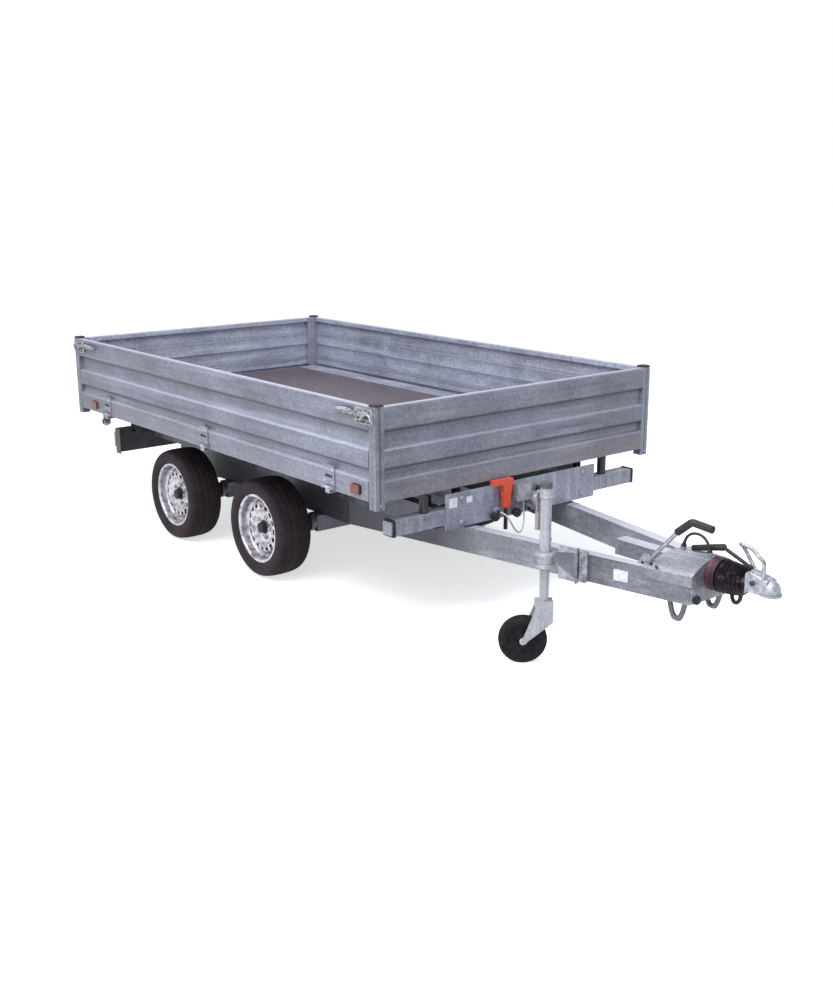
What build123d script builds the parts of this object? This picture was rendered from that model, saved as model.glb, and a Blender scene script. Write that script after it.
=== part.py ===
from build123d import *
from math import radians, sqrt, tan
import os

os.makedirs("parts", exist_ok=True)

# Tandem-axle tipping trailer with dropsides, in millimetres.
# +X points to the coupling, +Y to the trailer's left, +Z up; the ground is z = 0
# and the origin is under the middle of the whole trailer.

# Overall lengths along X, measured from the bed's rear face
reach = 4500.0
rear_fittings = 12.0

# Load bed
bed_length = 3040.0
bed_width = 1780.0
post_size = 48.0
post_groove_width = 8.0
post_groove_depth = 3.0
post_below_board = 34.0
post_above_board = 2.0
cap_height = 8.0
cap_overhang = 1.0
cap_corner = 6.0
cap_taper = 12.0
board_bottom_z = 650.0
board_height = 425.0
board_sheet = 4.0
board_fold = 28.0
board_lip = 20.0
board_end_gap = 5.0
floor_top_z = 740.0
floor_thickness = 15.0
floor_side_border = 170.0
floor_rear_border = 45.0
floor_front_border = 92.0
rail_sheet = 4.0
rail_bottom_z = 640.0
side_rail_gap = 12.0
side_rail_foot = 50.0
end_rail_gap_rear = 6.0
end_rail_gap_front = 2.0
bearer_height = 60.0
bearer_width = 40.0
bearer_count = 6
bearer_end_distance = 200.0
beam_height = 80.0
beam_width = 60.0
beam_y = 400.0
buffer_radius = 22.0
buffer_gap = 0.3
buffer_behind_bed_front = (740.0, 160.0)
front_buffer_y = 590.0
section_wall = 4.0

# Dropside hinges: axis just outside and above the board's lower edge
hinge_rear_distance = 410.0
hinge_front_distance = 350.0
hinge_out = 10.0
hinge_above_board = 10.0
hinge_width = 90.0
hinge_knuckle_radius = 8.0
hinge_pin_radius = 4.0
hinge_pin_clearance = 0.1
hinge_fixed_width = 30.0
hinge_side_play = 1.0
strap_thickness = 5.0
strap_height = 105.0
strap_foot = 12.0
bracket_thickness = 6.0
bracket_upstand = 6.0

# Latches and marker lamps on the sides
latch_case_length = 135.0
latch_case_corner = 12.0
latch_case_height = 74.0
latch_case_thickness = 6.0
latch_over_post = 40.0
latch_clearance = 0.5
latch_top_below_board = 8.0
latch_lever_reach = 278.0
latch_lever_height = 20.0
latch_lever_thickness = 9.0
latch_lever_rise = 8.0
latch_boss_radius = 15.0
latch_boss_inset = 62.0
latch_boss_thickness = 11.0
latch_hook_radius = 7.0
latch_hook_inset = 16.0
latch_hook_height = 60.0
marker_rear_distance = 235.0
marker_front_distance = 142.0
marker_length = 66.0
marker_height = 42.0
marker_depth = 12.0
marker_mid_z = 692.0

# Tailgate hung from its upper corners
gate_pin_radius = 8.0
gate_pin_clearance = 0.1
gate_pin_depth = 20.0
gate_knob_radius = 8.0
gate_knob_z = 722.0
gate_knob_inset = 30.0

# Chassis
beam_section_width = 60.0
beam_section_height = 120.0
beam_bottom_z = 326.0
beam_outer_y = 501.0
beam_rear_from_rear = 560.0
bend_from_rear = 2300.0
arm_front_behind_nose = 330.0
arm_front_outer_y = 145.0
rail_section_height = 100.0
rear_member_from_rear = 175.0
rear_member_size = 70.0
rear_member_half = 620.0
front_member_behind_bed_front = 40.0
front_member_size = 70.0
front_member_half = 780.0
front_member_mid_z = 515.0
front_plate_half = 490.0
front_plate_thickness = 8.0
front_plate_bottom_z = 458.0
front_plate_top_z = 624.0
arm_ring_length = 12.0
arm_cap_length = 8.0
arm_ring_margin = 4.0
arm_ring_corner = 8.0
arm_cap_corner = 6.0
member_height = 60.0
member_width = 40.0
member_below_rail = 20.0
member_from_rear = (700.0, 2300.0)
cradle_member_from_rear = (1280.0, 1580.0)

# Rear tipping pivots
pivot_from_rear = 110.0
pivot_z = 560.0
pivot_y = 570.0
pivot_pin_radius = 15.0
pivot_pin_clearance = 0.1
pivot_eye_radius = 27.0
pivot_ear_thickness = 20.0
pivot_lug_thickness = 12.0
pivot_side_gap = 2.0
pivot_ear_step = 20.0
pivot_ear_reach = 90.0

# Telescopic cylinder
trunnion_from_rear = 1420.0
trunnion_z = 470.0
trunnion_radius = 15.0
trunnion_clearance = 0.1
trunnion_reach = 106.0
cradle_inner_y = 92.0
cradle_plate = 12.0
cradle_extra_depth = 24.0
barrel_radius = 68.0
barrel_bottom_z = 222.0
barrel_top_z = 545.0
barrel_floor = 10.0
stage_wall = 9.7
stage_clearance = 0.3
stage_step = 10.0
stage_count = 4
stage_bottom_gap = 4.0
ball_z = 630.0
ball_radius = 22.0
ball_clearance = 3.0
ball_neck_radius = 14.0
head_beam_width = 160.0
head_beam_bottom_z = 632.0
head_beam_top_z = 700.0

# Axles and wheels
axle_from_rear = (("rear", 973.0), ("front", 1874.0))
tyre_radius = 260.0
tyre_half_width = 97.5
tyre_tread_half = 84.0
tyre_bead_radius = 168.0
tyre_bead_half = 76.0
tyre_flange_radius = 184.0
tyre_wall_radius = 216.0
tyre_shoulder_radius = 251.0
wheel_y = 705.0
rim_flange_radius = 182.0
rim_flange_half = 82.0
rim_clearance = 0.3
rim_wall = 4.0
rim_well_radius = 142.0
disc_y_offset = 30.0
disc_thickness = 5.0
vent_count = 16
vent_radius = 9.0
vent_circle = 112.0
hub_cap_radius = 32.0
hub_cap_length = 34.0
hub_cap_bevel = 6.0
rim_barrel_radius = tyre_bead_radius - rim_clearance
rim_inner_radius = rim_barrel_radius - rim_wall
rim_well_inner_radius = rim_well_radius - rim_wall
# Section of the rim: distance from the wheel's middle, radius
rim_section = (
    (-rim_flange_half, rim_flange_radius),
    (-rim_flange_half + rim_wall, rim_flange_radius),
    (-rim_flange_half + rim_wall, rim_barrel_radius),
    (-30.0, rim_barrel_radius),
    (-20.0, rim_well_radius),
    (20.0, rim_well_radius),
    (34.0, rim_barrel_radius),
    (rim_flange_half - rim_wall, rim_barrel_radius),
    (rim_flange_half - rim_wall, rim_flange_radius),
    (rim_flange_half, rim_flange_radius),
    (rim_flange_half, rim_inner_radius),
    (36.0, rim_inner_radius),
    (22.0, rim_well_inner_radius),
    (-22.0, rim_well_inner_radius),
    (-32.0, rim_inner_radius),
    (-rim_flange_half, rim_inner_radius),
)
# Section of the wheel disc and its cap: distance out from the disc's seat, radius
disc_section = (
    (0.0, 0.0),
    (hub_cap_length, 0.0),
    (hub_cap_length, hub_cap_radius - hub_cap_bevel),
    (hub_cap_length - hub_cap_bevel, hub_cap_radius),
    (disc_thickness, hub_cap_radius),
    (disc_thickness, 84.0),
    (22.0, 98.0),
    (22.0, 126.0),
    (6.0, rim_well_inner_radius),
    (-20.0, rim_well_inner_radius),
    (-20.0, rim_well_inner_radius - disc_thickness),
    (0.0, rim_well_inner_radius - disc_thickness),
    (16.0, 124.0),
    (16.0, 100.0),
    (0.0, 86.0),
)
drum_radius = 112.0
drum_length = 150.0
drum_step = 20.0
drum_neck_radius = 82.0
spindle_end_gap = 2.0
axle_tube = 85.0
torsion_arm_length = 155.0
torsion_arm_thickness = 32.0
backplate_radius = 118.0
backplate_thickness = 8.0
backplate_gap = 6.0
spindle_radius = 18.0
spindle_clearance = 0.1
spindle_length = 90.0

# Jockey wheel
jockey_behind_nose = 850.0
jockey_y = -460.0
jockey_swivel = 51.0
jockey_tube_radius = 24.0
jockey_tube_bore = 20.3
jockey_tube_bottom_z = 436.0
jockey_tube_top_z = 735.0
jockey_collar_radius = 27.0
jockey_cap_z = 800.0
jockey_leg_radius = 20.0
jockey_leg_top_z = 640.0
jockey_head_top_z = 280.0
jockey_trail = 88.0
jockey_wheel_radius = 105.0
jockey_wheel_half = 26.0
jockey_hub_radius = 22.0
jockey_axle_radius = 8.0
jockey_axle_clearance = 0.1
# Half of the jockey wheel's section: distance from its middle, radius
jockey_half_section = (
    (jockey_wheel_half, jockey_axle_radius + jockey_axle_clearance),
    (jockey_wheel_half, jockey_hub_radius),
    (18.0, 28.0),
    (18.0, 62.0),
    (25.0, 70.0),
    (25.0, 90.0),
    (14.0, jockey_wheel_radius),
)
fork_arm_thickness = 6.0
fork_gap = 5.0
fork_head_radius = 38.0
fork_head_height = 30.0
fork_swivel_gap = 0.3
fork_eye_radius = 16.0
fork_web_height = 90.0
clamp_radius = 34.0
clamp_height = 60.0
clamp_slope_start = 28.0
clamp_below_beam = 16.0
clamp_plate = 8.0
crank_z = 748.0
crank_out = 44.0
crank_arm_drop = 74.0
crank_pin_radius = 8.0
crank_arm_width = 18.0
crank_arm_thickness = 6.0
crank_grip_radius = 12.0
crank_grip_length = 82.0

# Overrun coupling: distances along X are measured back from the nose
housing_front_behind_nose = 320.0
housing_bottom_z = 330.0
tie_plate_behind_nose = (524.0, 470.0)
tie_plate_thickness = 6.0
tie_plate_inset = 30.0
hood_rear_behind_nose = 530.0
hood_sheet = 4.0
hood_skirt = 42.0
hood_rear_rise = 50.0
hood_front_rise = 58.0
hood_rib_shares = (-0.78, -0.52, -0.26, 0.0, 0.26, 0.52, 0.78)
hood_rib_radius = 4.0
hood_tube_clearance = 0.3
overrun_tube_size = 70.0
overrun_tube_rear_behind_nose = 835.0
overrun_tube_wall = 5.0
coupling_z = 440.0
collar_radius = 72.0
collar_length = 45.0
bellows_front_behind_nose = 147.0
bellows_rear_radius = 70.0
bellows_front_radius = 46.0
bellows_folds = 8
bellows_fold_depth = 9.0
head_shaft_radius = 25.0
bellows_clearance = 0.3
head_socket_radius = 25.4
head_socket_depth = 24.0
head_socket_behind_nose = 44.0
head_bottom_z = 415.0
head_lip_height = 9.0
head_dome_radius = 38.0
head_dome_height = 66.0
head_dome_shoulder = (30.4, 47.5)
head_rear_half_width = 34.0
head_rear_bottom_z = 404.0
head_rear_top_z = 492.0
head_crown_z = 500.0
head_crown_behind_nose = 125.0
head_edge_radius = 12.0
handle_radius = 8.0
handle_half = 27.0
handle_bend = 18.0
# Coupling handle: distance behind the nose and height of its bends, right leg and left leg
handle_right = ((65.0, 472.0), (66.0, 552.0), (131.0, 598.0), (184.0, 604.0))
handle_left = ((205.0, 576.0), (136.0, 484.0))
lever_radius = 9.0
lever_y = -150.0
lever_bend = 30.0
lever_grip_radius = 16.0
lever_bracket_thickness = 10.0
# Handbrake lever: distance behind the nose and height of its bracket, its rod and its grip
lever_bracket = ((606.0, 446.0), (531.0, 446.0), (531.0, 470.0), (546.0, 492.0), (572.0, 492.0))
lever_rod = ((556.0, 458.0), (404.0, 624.0))
lever_grip = ((404.0, 624.0), (333.0, 682.0), (229.0, 673.0))
# Black hand lever of the coupling, over the bellows: distance behind the nose, Y and height
bar_radius = 8.0
bar_grip_radius = 15.0
bar_grip_taper = 1.0
bar_points = ((142.0, 4.0, 502.8), (306.0, 30.0, 548.0), (460.0, 30.0, 509.8))

# Each bend of a lead or hose takes this share of the shorter run beside it
bend_share = 0.45

# Lead that arches over the overrun housing between two glands: distance behind the nose, height
lead_radius = 6.0
lead_gland_length = 24.0
lead_gland_radius = 12.0
lead_route = (
    (486.0, 518.0),
    (480.0, 548.0),
    (462.0, 572.0),
    (435.0, 585.0),
    (403.0, 586.0),
    (375.0, 573.0),
    (356.0, 549.0),
    (350.0, 520.0),
)

# Towing loops under the drawbar's arms: distance behind the nose and height of their bends
loop_radius = 9.0
loop_y = 118.0
loop_points = ((456.0, 329.0), (430.0, 241.0), (392.0, 241.0), (366.0, 329.0))
loop_bend = 16.0

# Lamp board
lamp_board_from_rear = 40.0
lamp_board_half = 680.0
lamp_board_bottom_z = 330.0
lamp_board_top_z = 490.0
lamp_board_sheet = 3.0
tail_lamp_length = 220.0
tail_lamp_corner = 8.0
tail_lamp_height = 100.0
tail_lamp_depth = 40.0
tail_lamp_inset = 10.0
lamp_bracket_y = 400.0
lamp_bracket_width = 40.0
lamp_board_return = 60.0
number_plate_length = 520.0
number_plate_height = 114.0
number_plate_thickness = 3.0

# Valve on the front plate, with an orange L-shaped handle and a black stem below it
valve_y = -40.0
valve_z = 575.0
valve_width = 92.0
valve_corner = 8.0
valve_height = 84.0
valve_depth = 46.0
motor_y = 36.0
motor_z = 531.0
motor_radius = 34.0
motor_length = 74.0
handle_stand_off = 10.0
handle_boss_radius = 12.0
handle_arm_y = -138.0
handle_arm_top_z = 640.0
handle_arm_bottom_z = 512.0
handle_arm_top_width = 62.0
handle_arm_bottom_width = 30.0
handle_blade_y = -165.0
handle_blade_length = 130.0
handle_blade_corner = 8.0
handle_blade_height = 26.0
handle_depth = 24.0
stem_radius = 10.0
stem_bottom_z = 404.0
gland_spots = ((-189.0, 500.0), (8.0, 480.0))
gland_radius = 14.0
gland_length = 26.0

# Lead and hose at the front plate: distance ahead of the plate, Y and height
plate_lead_radius = 4.0
plate_lead_route = (
    (26.0, -189.0, 500.0),
    (66.0, -189.0, 500.0),
    (94.0, -178.0, 470.0),
    (96.0, -152.0, 424.0),
    (82.0, -108.0, 390.0),
    (62.0, -64.0, 398.0),
    (42.0, -34.0, 436.0),
    (30.0, -30.0, 486.0),
    (30.0, -30.0, 533.0),
)
plate_hose_radius = 4.5
plate_hose_route = (
    (26.0, 8.0, 480.0),
    (70.0, 8.0, 480.0),
    (114.0, -8.0, 458.0),
    (168.0, -44.0, 436.0),
    (236.0, -86.0, 426.0),
    (300.0, -116.0, 422.0),
    (340.0, -152.0, 420.0),
    (340.0, -196.0, 420.0),
)
hose_gland_radius = 12.0

# Rear eyes for tipping sideways, under the bed's side rails
eye_from_rear = 205.0
eye_y = 812.0
eye_thickness = 14.0
eye_radius = 27.0
eye_bore_radius = 12.5
eye_z = 575.0
eye_bush_radius = 20.0
eye_bush_length = 40.0

half_length = (reach + rear_fittings) / 2
post_half = post_size / 2
half_width = bed_width / 2
board_top_z = board_bottom_z + board_height
floor_half_width = half_width - floor_side_border
hinge_last = bed_length - hinge_front_distance
hinge_from_rear = (hinge_rear_distance, (hinge_rear_distance + hinge_last) / 2, hinge_last)
marker_from_rear = (marker_rear_distance, bed_length - marker_front_distance)
buffer_from_rear = [bed_length - distance for distance in buffer_behind_bed_front]
front_member_from_rear = bed_length - front_member_behind_bed_front
arm_front_from_rear = reach - arm_front_behind_nose
jockey_from_rear = reach - jockey_behind_nose
SIDES = (("right", -1), ("left", 1))


def from_rear(distance):
    """X of a point that lies this far ahead of the bed's rear face."""
    return distance + rear_fittings - half_length


def from_nose(distance):
    """X of a point that lies this far behind the coupling's nose."""
    return from_rear(reach - distance)


def write(part, label):
    """Name a finished piece and write its file."""
    part.label = label
    export_step(part, f"parts/{label}.step")


def bent_tube(points, radius, bends):
    """A round bar along straight runs joined by tangent arcs."""
    with BuildPart() as tube:
        with BuildLine() as line:
            FilletPolyline(*points, radius=bends)
        with BuildSketch(Plane(line.line @ 0, z_dir=line.line % 0)):
            Circle(radius)
        sweep()
    return tube.part


def cord(points, radius):
    """A lead or hose whose bends are as wide as its runs allow."""
    corners = [Vector(*point) for point in points]
    bends = []
    for before, corner, after in zip(corners, corners[1:], corners[2:]):
        half_turn = radians((corner - before).get_angle(after - corner) / 2)
        bends.append(bend_share * min((corner - before).length, (after - corner).length) / tan(half_turn))
    print("bend radii in diameters", [round(bend / radius / 2, 1) for bend in bends])
    return bent_tube(corners, radius, bends)


# Steps of the corrugated board: depth in from its outer face, share of its height
board_steps = (
    (0.0, 0.757),
    (16.0, 0.729),
    (16.0, 0.569),
    (0.0, 0.541),
    (0.0, 0.353),
    (16.0, 0.329),
    (16.0, 0.240),
    (0.0, 0.216),
)


def board(start, inward, length):
    """A pressed board with a box fold on top; it runs from start for length."""
    outer = [(depth, share * board_height) for depth, share in board_steps]
    inner = [(depth + board_sheet, height) for depth, height in reversed(outer)]
    fold_z = board_height - board_fold
    outline = [(0, board_height), *outer, (0, 0), (board_lip, 0)]
    outline += [(board_lip, board_sheet), (board_sheet, board_sheet), *inner]
    outline += [(board_sheet, fold_z), (board_fold, fold_z), (board_fold, board_height)]
    along = Vector(*inward).cross(Vector(0, 0, 1))
    with BuildPart() as sheet:
        with BuildSketch(Plane(origin=start, x_dir=inward, z_dir=along)):
            with BuildLine():
                Polyline(*outline, close=True)
            make_face()
        extrude(amount=length)
    return sheet.part


# Load floor and the steel frame round it

side_rail_outer = half_width - board_fold - side_rail_gap
floor_rear_x = from_rear(floor_rear_border)
floor_front_x = from_rear(bed_length - floor_front_border)
floor_mid_x = (floor_rear_x + floor_front_x) / 2
rail_rear_x = from_rear(board_fold + end_rail_gap_rear)
rail_front_x = from_rear(bed_length - board_fold - end_rail_gap_front)
bearer_top_z = floor_top_z - floor_thickness
bearer_bottom_z = bearer_top_z - bearer_height
beam_top_z = bearer_bottom_z
hinge_y = half_width + hinge_out
hinge_z = board_bottom_z + hinge_above_board

with BuildPart() as floor_panel:
    with BuildSketch(Plane.XY.offset(floor_top_z - floor_thickness)):
        with Locations((floor_mid_x, 0)):
            Rectangle(floor_front_x - floor_rear_x, 2 * floor_half_width)
    extrude(amount=floor_thickness)
write(floor_panel.part, "floor_panel")


def channel(depth_out, depth_top, depth_foot):
    """Outline of a lipped channel: web at depth_out, flanges reaching inwards."""
    return (
        (depth_out, rail_bottom_z),
        (depth_out, floor_top_z),
        (depth_top, floor_top_z),
        (depth_top, floor_top_z - rail_sheet),
        (depth_out - rail_sheet, floor_top_z - rail_sheet),
        (depth_out - rail_sheet, rail_bottom_z + rail_sheet),
        (depth_foot, rail_bottom_z + rail_sheet),
        (depth_foot, rail_bottom_z),
    )


side_rail_rear_x = from_rear(post_size)
side_rail_front_x = from_rear(bed_length - post_size)
with BuildPart() as bed_side_rails:
    with BuildSketch(Plane.YZ.offset(side_rail_rear_x)):
        with BuildLine():
            foot = side_rail_outer - side_rail_foot
            Polyline(*channel(side_rail_outer, floor_half_width, foot), close=True)
        make_face()
    extrude(amount=side_rail_front_x - side_rail_rear_x)
    for distance in hinge_from_rear:
        with BuildSketch(Plane.YZ.offset(from_rear(distance) - hinge_fixed_width / 2)):
            with BuildLine():
                Polyline(
                    (side_rail_outer - side_rail_foot, rail_bottom_z),
                    (side_rail_outer - side_rail_foot, rail_bottom_z - bracket_thickness),
                    (hinge_y + bracket_upstand / 2, rail_bottom_z - bracket_thickness),
                    (hinge_y + bracket_upstand / 2, hinge_z),
                    (hinge_y - bracket_upstand / 2, hinge_z),
                    (hinge_y - bracket_upstand / 2, rail_bottom_z),
                    close=True,
                )
            make_face()
            with Locations((hinge_y, hinge_z)):
                Circle(hinge_knuckle_radius)
        extrude(amount=hinge_fixed_width)
        with BuildSketch(Plane.YZ.offset(from_rear(distance) - hinge_width / 2)):
            with Locations((hinge_y, hinge_z)):
                Circle(hinge_pin_radius)
        extrude(amount=hinge_width)
    with BuildSketch(Plane.XZ.offset(-(eye_y + eye_thickness / 2))):
        with BuildLine():
            Polyline(
                (from_rear(eye_from_rear) - eye_radius, eye_z),
                (from_rear(eye_from_rear) - eye_radius, rail_bottom_z),
                (from_rear(eye_from_rear) + eye_radius, rail_bottom_z),
                (from_rear(eye_from_rear) + eye_radius, eye_z),
                close=True,
            )
        make_face()
        with Locations((from_rear(eye_from_rear), eye_z)):
            Circle(eye_radius)
    extrude(amount=eye_thickness)
    with BuildSketch(Plane.XZ.offset(-(eye_y + eye_bush_length / 2))):
        with Locations((from_rear(eye_from_rear), eye_z)):
            Circle(eye_bush_radius)
    extrude(amount=eye_bush_length)
    with BuildSketch(Plane.XZ.offset(-(eye_y + eye_bush_length / 2))):
        with Locations((from_rear(eye_from_rear), eye_z)):
            Circle(eye_bore_radius)
    extrude(amount=eye_bush_length, mode=Mode.SUBTRACT)
    mirror(about=Plane.XZ)
write(bed_side_rails.part, "bed_side_rails")

end_rail_half = side_rail_outer - rail_sheet
web_height = floor_top_z - rail_bottom_z - rail_sheet
with BuildPart() as bed_end_rails:
    for outer_x, floor_x in ((rail_rear_x, floor_rear_x), (rail_front_x, floor_front_x)):
        inward = 1 if floor_x > outer_x else -1
        with BuildSketch(Plane.YZ.offset(outer_x)):
            with Locations((0, floor_top_z - web_height / 2)):
                Rectangle(2 * (half_width - post_size), web_height)
        extrude(amount=inward * rail_sheet)
        with BuildSketch(Plane.XY.offset(floor_top_z - rail_sheet)):
            with Locations(((outer_x + floor_x) / 2, 0)):
                Rectangle(abs(floor_x - outer_x), 2 * floor_half_width)
        extrude(amount=rail_sheet)
write(bed_end_rails.part, "bed_end_rails")

bearer_first_x = rail_rear_x + bearer_end_distance
bearer_last_x = rail_front_x - bearer_end_distance
bearer_pitch = (bearer_last_x - bearer_first_x) / (bearer_count - 1)
head_x = from_rear(trunnion_from_rear)
with BuildPart() as bed_bearers:
    for index in range(bearer_count):
        with BuildSketch(Plane.XZ.offset(-end_rail_half)):
            with Locations((bearer_first_x + index * bearer_pitch, bearer_bottom_z + bearer_height / 2)):
                Rectangle(bearer_width, bearer_height)
                with Locations((0, -rail_sheet / 2)):
                    Rectangle(
                        bearer_width - 2 * rail_sheet, bearer_height - rail_sheet, mode=Mode.SUBTRACT
                    )
        extrude(amount=2 * end_rail_half)
write(bed_bearers.part, "bed_bearers")

ear_top_z = rail_bottom_z
with BuildPart() as bed_beams:
    for sign in (-1, 1):
        with BuildSketch(Plane.YZ.offset(rail_rear_x + rail_sheet)):
            with Locations((sign * beam_y, beam_top_z - beam_height / 2)):
                Rectangle(beam_width, beam_height)
                Rectangle(beam_width - 2 * section_wall, beam_height - 2 * section_wall, mode=Mode.SUBTRACT)
        extrude(amount=rail_front_x - rail_rear_x - 2 * rail_sheet)
    with BuildSketch(Plane.XY.offset(head_beam_bottom_z)):
        with Locations((head_x, 0)):
            Rectangle(head_beam_width, 2 * beam_y - beam_width)
    extrude(amount=beam_top_z - head_beam_bottom_z)
    with BuildSketch(Plane.XY.offset(beam_top_z)):
        with Locations((head_x, 0)):
            Rectangle(head_beam_width, head_beam_width)
    extrude(amount=head_beam_top_z - beam_top_z)
    with Locations((head_x, 0, ball_z)):
        Sphere(ball_radius + ball_clearance, mode=Mode.SUBTRACT)
write(bed_beams.part, "bed_beams")

with BuildPart() as pivot_ears:
    for sign in (-1, 1):
        with BuildSketch(Plane.XZ.offset(-sign * pivot_y - pivot_ear_thickness / 2)):
            with BuildLine():
                Polyline(
                    (from_rear(pivot_from_rear) - pivot_eye_radius, pivot_z),
                    (rail_rear_x + rail_sheet, ear_top_z + pivot_ear_step),
                    (rail_rear_x + rail_sheet, bearer_top_z),
                    (from_rear(pivot_from_rear) + pivot_ear_reach, bearer_top_z),
                    (from_rear(pivot_from_rear) + pivot_ear_reach, ear_top_z + pivot_ear_step),
                    (from_rear(pivot_from_rear) + pivot_eye_radius, pivot_z),
                    close=True,
                )
            make_face()
            with Locations((from_rear(pivot_from_rear), pivot_z)):
                Circle(pivot_eye_radius)
                Circle(pivot_pin_radius + pivot_pin_clearance, mode=Mode.SUBTRACT)
        extrude(amount=pivot_ear_thickness)
write(pivot_ears.part, "pivot_ears")

# Corner posts with their caps

post_xs = (from_rear(post_half), from_rear(bed_length - post_half))
post_spots = [(x, sign * (half_width - post_half)) for x in post_xs for sign in (-1, 1)]
post_bottom_z = board_bottom_z - post_below_board
post_top_z = board_top_z + post_above_board
gate_axis_x = from_rear(board_fold / 2)
gate_axis_z = board_top_z - board_fold / 2
gate_half = half_width - post_size - board_end_gap

with BuildPart() as corner_posts:
    with BuildSketch(Plane.XY.offset(post_bottom_z)):
        with Locations(*post_spots):
            Rectangle(post_size, post_size)
            with PolarLocations(post_half, 4):
                Rectangle(2 * post_groove_depth, post_groove_width, mode=Mode.SUBTRACT)
    extrude(amount=post_top_z - post_bottom_z)
    with BuildSketch(Plane.XZ.offset(-(half_width - post_size))):
        with Locations((gate_axis_x, gate_axis_z)):
            Circle(gate_pin_radius)
    extrude(amount=board_end_gap + gate_pin_depth)
    with BuildSketch(Plane.XZ.offset(half_width - post_size)):
        with Locations((gate_axis_x, gate_axis_z)):
            Circle(gate_pin_radius)
    extrude(amount=-(board_end_gap + gate_pin_depth))
write(corner_posts.part, "corner_posts")

with BuildPart() as post_caps:
    with BuildSketch(Plane.XY.offset(post_top_z)):
        with Locations(*post_spots):
            RectangleRounded(post_size + 2 * cap_overhang, post_size + 2 * cap_overhang, cap_corner)
    extrude(amount=cap_height, taper=cap_taper)
write(post_caps.part, "post_caps")

# Boards: the front one is fixed, the sides drop and the tailgate swings from its top

front_half = half_width - post_size
front_board = board((from_rear(bed_length), -front_half, board_bottom_z), (-1, 0, 0), 2 * front_half)
write(front_board, "front_board")

side_rear_x = from_rear(post_size + board_end_gap)
side_front_x = from_rear(bed_length - post_size - board_end_gap)
side_length = side_front_x - side_rear_x
latch_mid_z = board_top_z - latch_top_below_board - latch_case_height / 2
board_front_edge = from_rear(bed_length - post_size)
board_rear_edge = from_rear(post_size)

for side, sign in SIDES:
    start_x = side_rear_x if sign < 0 else side_front_x
    panel = board((start_x, sign * half_width, board_bottom_z), (0, -sign, 0), side_length)
    with BuildPart() as side_board:
        add(panel)
        for distance in hinge_from_rear:
            mid_x = from_rear(distance)
            with BuildSketch(Plane.XZ.offset(-sign * half_width)):
                with Locations((mid_x, hinge_z + strap_foot + (strap_height - strap_foot) / 2)):
                    Rectangle(hinge_width, strap_height - strap_foot)
                foot_offset = (hinge_width + hinge_fixed_width) / 4 + hinge_side_play / 2
                foot_z = hinge_z + strap_foot / 2
                with Locations((mid_x - foot_offset, foot_z), (mid_x + foot_offset, foot_z)):
                    Rectangle((hinge_width - hinge_fixed_width) / 2 - hinge_side_play, strap_foot)
            extrude(amount=-sign * strap_thickness)
            knuckle_length = (hinge_width - hinge_fixed_width) / 2 - hinge_side_play
            for low_x in (mid_x - hinge_width / 2, mid_x + hinge_fixed_width / 2 + hinge_side_play):
                with BuildSketch(Plane.YZ.offset(low_x)):
                    with Locations((sign * hinge_y, hinge_z)):
                        Circle(hinge_knuckle_radius)
                extrude(amount=knuckle_length)
            with BuildSketch(Plane.YZ.offset(mid_x - hinge_width / 2)):
                with Locations((sign * hinge_y, hinge_z)):
                    Circle(hinge_pin_radius + hinge_pin_clearance)
            extrude(amount=hinge_width, mode=Mode.SUBTRACT)
    write(side_board.part, f"side_board_{side}")

    case_y = half_width + latch_clearance
    lever_mid_z = latch_mid_z + latch_lever_rise
    with BuildPart() as latches:
        for edge, inward in ((board_front_edge, -1), (board_rear_edge, 1)):
            outer_end = edge - inward * latch_over_post
            boss_x = outer_end + inward * latch_boss_inset
            lever_end = outer_end + inward * latch_lever_reach
            hook_x = outer_end + inward * latch_hook_inset
            with BuildSketch(Plane.XZ.offset(-sign * case_y)):
                with Locations((outer_end + inward * latch_case_length / 2, latch_mid_z)):
                    RectangleRounded(latch_case_length, latch_case_height, latch_case_corner)
            extrude(amount=-sign * latch_case_thickness)
            with BuildSketch(Plane.XZ.offset(-sign * (case_y + latch_case_thickness))):
                with Locations(((boss_x + lever_end) / 2, lever_mid_z)):
                    SlotOverall(abs(lever_end - boss_x) + latch_lever_height, latch_lever_height)
            extrude(amount=-sign * latch_lever_thickness)
            with BuildSketch(Plane.XZ.offset(-sign * (case_y + latch_case_thickness))):
                with Locations((boss_x, lever_mid_z)):
                    Circle(latch_boss_radius)
            extrude(amount=-sign * latch_boss_thickness)
            with BuildSketch(Plane.XY.offset(latch_mid_z - latch_hook_height / 2)):
                with Locations((hook_x, sign * (case_y + latch_case_thickness))):
                    Circle(latch_hook_radius)
            extrude(amount=latch_hook_height)
    write(latches.part, f"side_latches_{side}")

    with BuildPart() as markers:
        with BuildSketch(Plane.XZ.offset(-sign * half_width)):
            with Locations(*[(from_rear(distance), marker_mid_z) for distance in marker_from_rear]):
                RectangleRounded(marker_length, marker_height, 4.0)
        extrude(amount=-sign * marker_depth)
    write(markers.part, f"marker_lamps_{side}")

gate = board((from_rear(0), gate_half, board_bottom_z), (1, 0, 0), 2 * gate_half)
with BuildPart() as tailgate:
    add(gate)
    for sign in (-1, 1):
        with BuildSketch(Plane.XZ.offset(-sign * gate_half)):
            with Locations((gate_axis_x, gate_axis_z)):
                Circle(gate_pin_radius + gate_pin_clearance)
        extrude(amount=sign * gate_pin_depth, mode=Mode.SUBTRACT)
        with BuildSketch(Plane.YZ.offset(from_rear(0))):
            with Locations((sign * (gate_half - gate_knob_inset), gate_knob_z)):
                Circle(gate_knob_radius)
        extrude(amount=-rear_fittings)
write(tailgate.part, "tailgate")

# Chassis: longitudinal beams that bend into the drawbar, rails and cross members on them

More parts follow.
